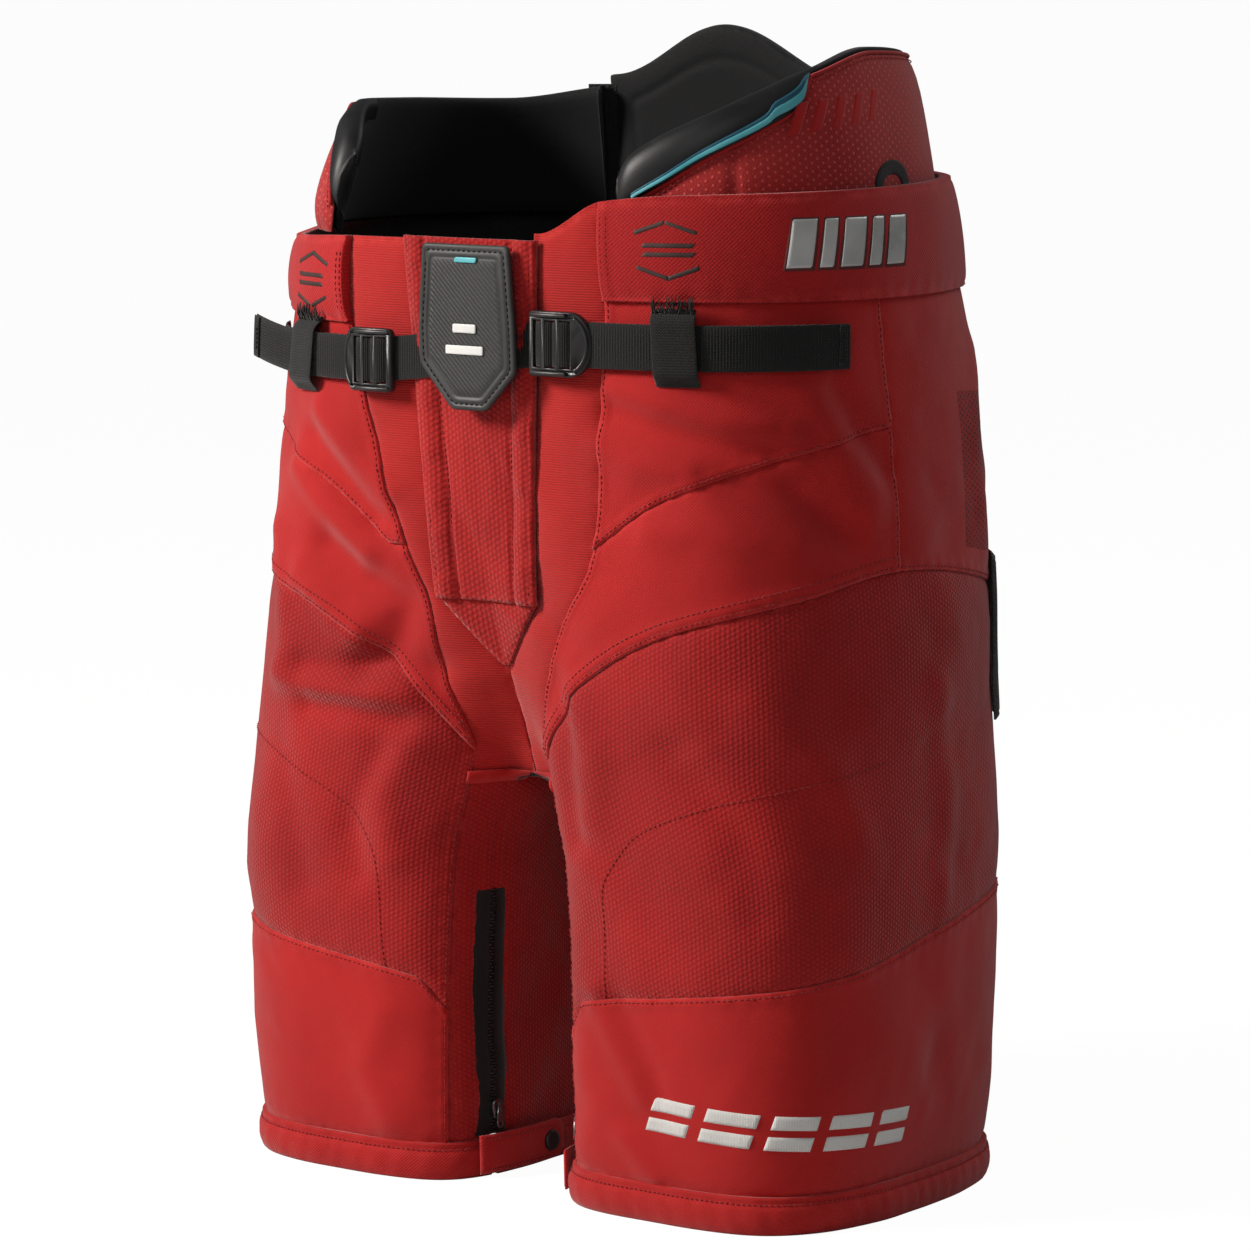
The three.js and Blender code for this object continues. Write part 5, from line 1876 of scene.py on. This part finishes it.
def add_tab(side, paints):
    """The cloth tab over the zipper's foot, with a snap cap on it and a stud under it."""
    u, v = np.linspace(0, 1, 50)[:, None], np.linspace(0, 1, 16)[None]
    t = TAB_BACK_T + (TAB_FRONT_T - TAB_BACK_T) * u + 0 * v
    end = np.clip((0.16 - u) / 0.16, 0, 1)
    half = 11.5 * np.sqrt(np.clip(1 - 0.75 * end**2.2, 0, 1))
    z = SNAP_Z + half * (2 * v - 1)
    edge = np.minimum(np.minimum(u, 1 - u) * 70, half * (1 - np.abs(2 * v - 1)))
    lift = (
        7.0 + 1.5 * (1 - np.exp(-edge / 1.5)) - 0.5 * np.exp(-((edge - 2.6) / 0.8) ** 2)
        + 0.4 * ripple(around(t) / 9, 1.0)
    )
    build = Build()
    cloth = np.stack([around(t), z, edge], -1)
    build.shell(skin(t, z, lift), skin(t, z, 6.2 + 0 * z), (0, 0), cloth)
    for way in (-1, 1):
        row_t = np.linspace(TAB_BACK_T + 5, TAB_FRONT_T - 1, 60)
        row_z = SNAP_Z + way * 8.9 + 0 * row_t
        build.stitches(skin(row_t, row_z, 8.3 + 0 * row_t), outward(np.radians(row_t), row_z), 1, pitch=3)
    piece = build.make(f"{side}_tab_cloth", side, [paints["binding"], paints["thread"]], "binding")
    settle(piece, f"{side}_snap_tab", [f"{side}_snap_tab"])
    for name, base, top, radius, paint, slot, body in (
        ("snap_cap", 8.3, 11.0, 6.2, "plastic", "buckle", f"{side}_snap_tab"),
        ("snap_stud", 0.6, 5.8, 4.6, "metal", "metal", f"{side}_leg"),
    ):
        origin, x, up, out = surface_frame(SNAP_T, SNAP_Z, 0)
        profile = [
            (0.35, base), (1.0, base), (1.0, base + 0.45 * (top - base)), (0.88, top - 0.3), (0.6, top),
            (0.3, top - 0.15), (0.05, top - 0.2),
        ]
        turn = np.linspace(0, 2 * math.pi, 40, endpoint=False)
        rows = np.stack([
            origin + (x * np.cos(turn)[:, None] + up * np.sin(turn)[:, None]) * radius * r + out * h
            for r, h in profile
        ], 1)
        build = Build()
        build.grid(rows, 0, closed=True)
        build.cap(0, len(turn), len(profile))
        piece = build.make(f"{side}_{name}_shell", side, [paints[paint]], slot)
        settle(piece, body, [f"{side}_{name}"])


# ------------------------------------------------------------------ small pieces
def add_small_trim(paints):
    u, v = np.linspace(0, 1, 20)[:, None], np.linspace(0, 1, 60)[None]
    t, z = 42 + 18 * u + 0 * v, 268 + 94 * v + 0 * u
    edge = np.minimum(np.minimum(u, 1 - u) * 37, np.minimum(v, 1 - v) * 94)
    lift = 2.6 + 1.4 * (1 - np.exp(-edge / 0.8)) - 0.5 * np.exp(-((edge - 3) / 0.6) ** 2)
    build = Build()
    build.shell(skin(t, z, lift), skin(t, z, 1.4 + 0 * z), (0, 0), np.stack([around(t), z, edge], -1))
    piece = build.make("rear_rubber_tag", "left", [paints["rubber"]], "rubber")
    crease(piece, ["rear_tag"])
    # The hanger loop is a flat arch of webbing at the left hip.
    turn = np.linspace(0, math.pi, 40)
    foot = np.linspace(0, 14, 10)[::-1]
    half, top = 15, 11
    t = np.concatenate([
        np.full(10, 0 - half / MM_PER_DEGREE),
        0 - half * np.cos(turn) / MM_PER_DEGREE,
        np.full(10, half / MM_PER_DEGREE),
    ])
    z = np.concatenate([576 - foot, 576 + top * np.sin(turn), 576 - foot[::-1]])
    path = skin(t, z, -7.4)
    out = outward(np.radians(t), z)
    ahead = np.gradient(path, axis=0)
    across = np.cross(ahead, out)
    across /= np.linalg.norm(across, axis=1, keepdims=True)
    build = Build()
    ribbon(build, path, across, out, width=8, thick=1.4, ribbed=False)
    piece = build.make("hanger_webbing", "left", [paints["webbing"]], "webbing")
    settle(piece, "pants", ["hanger_loop"])


# ------------------------------------------------------------------ the whole
add_camera()
add_stage()
PAINTS = make_materials()
PANELS = add_shell(PAINTS)
add_hems(PAINTS)
add_waistband(PAINTS)
add_kidney_pads(PAINTS)
add_back_pad(PAINTS)
add_hidden_guards(PAINTS)
add_fly(PAINTS)
add_crotch(PAINTS)
add_crotch_seams(PAINTS)
add_patch(PAINTS)
add_belt(PAINTS)
add_marks(PAINTS, PANELS)
add_zippers(PAINTS)
add_small_trim(PAINTS)

bpy.context.view_layer.update()
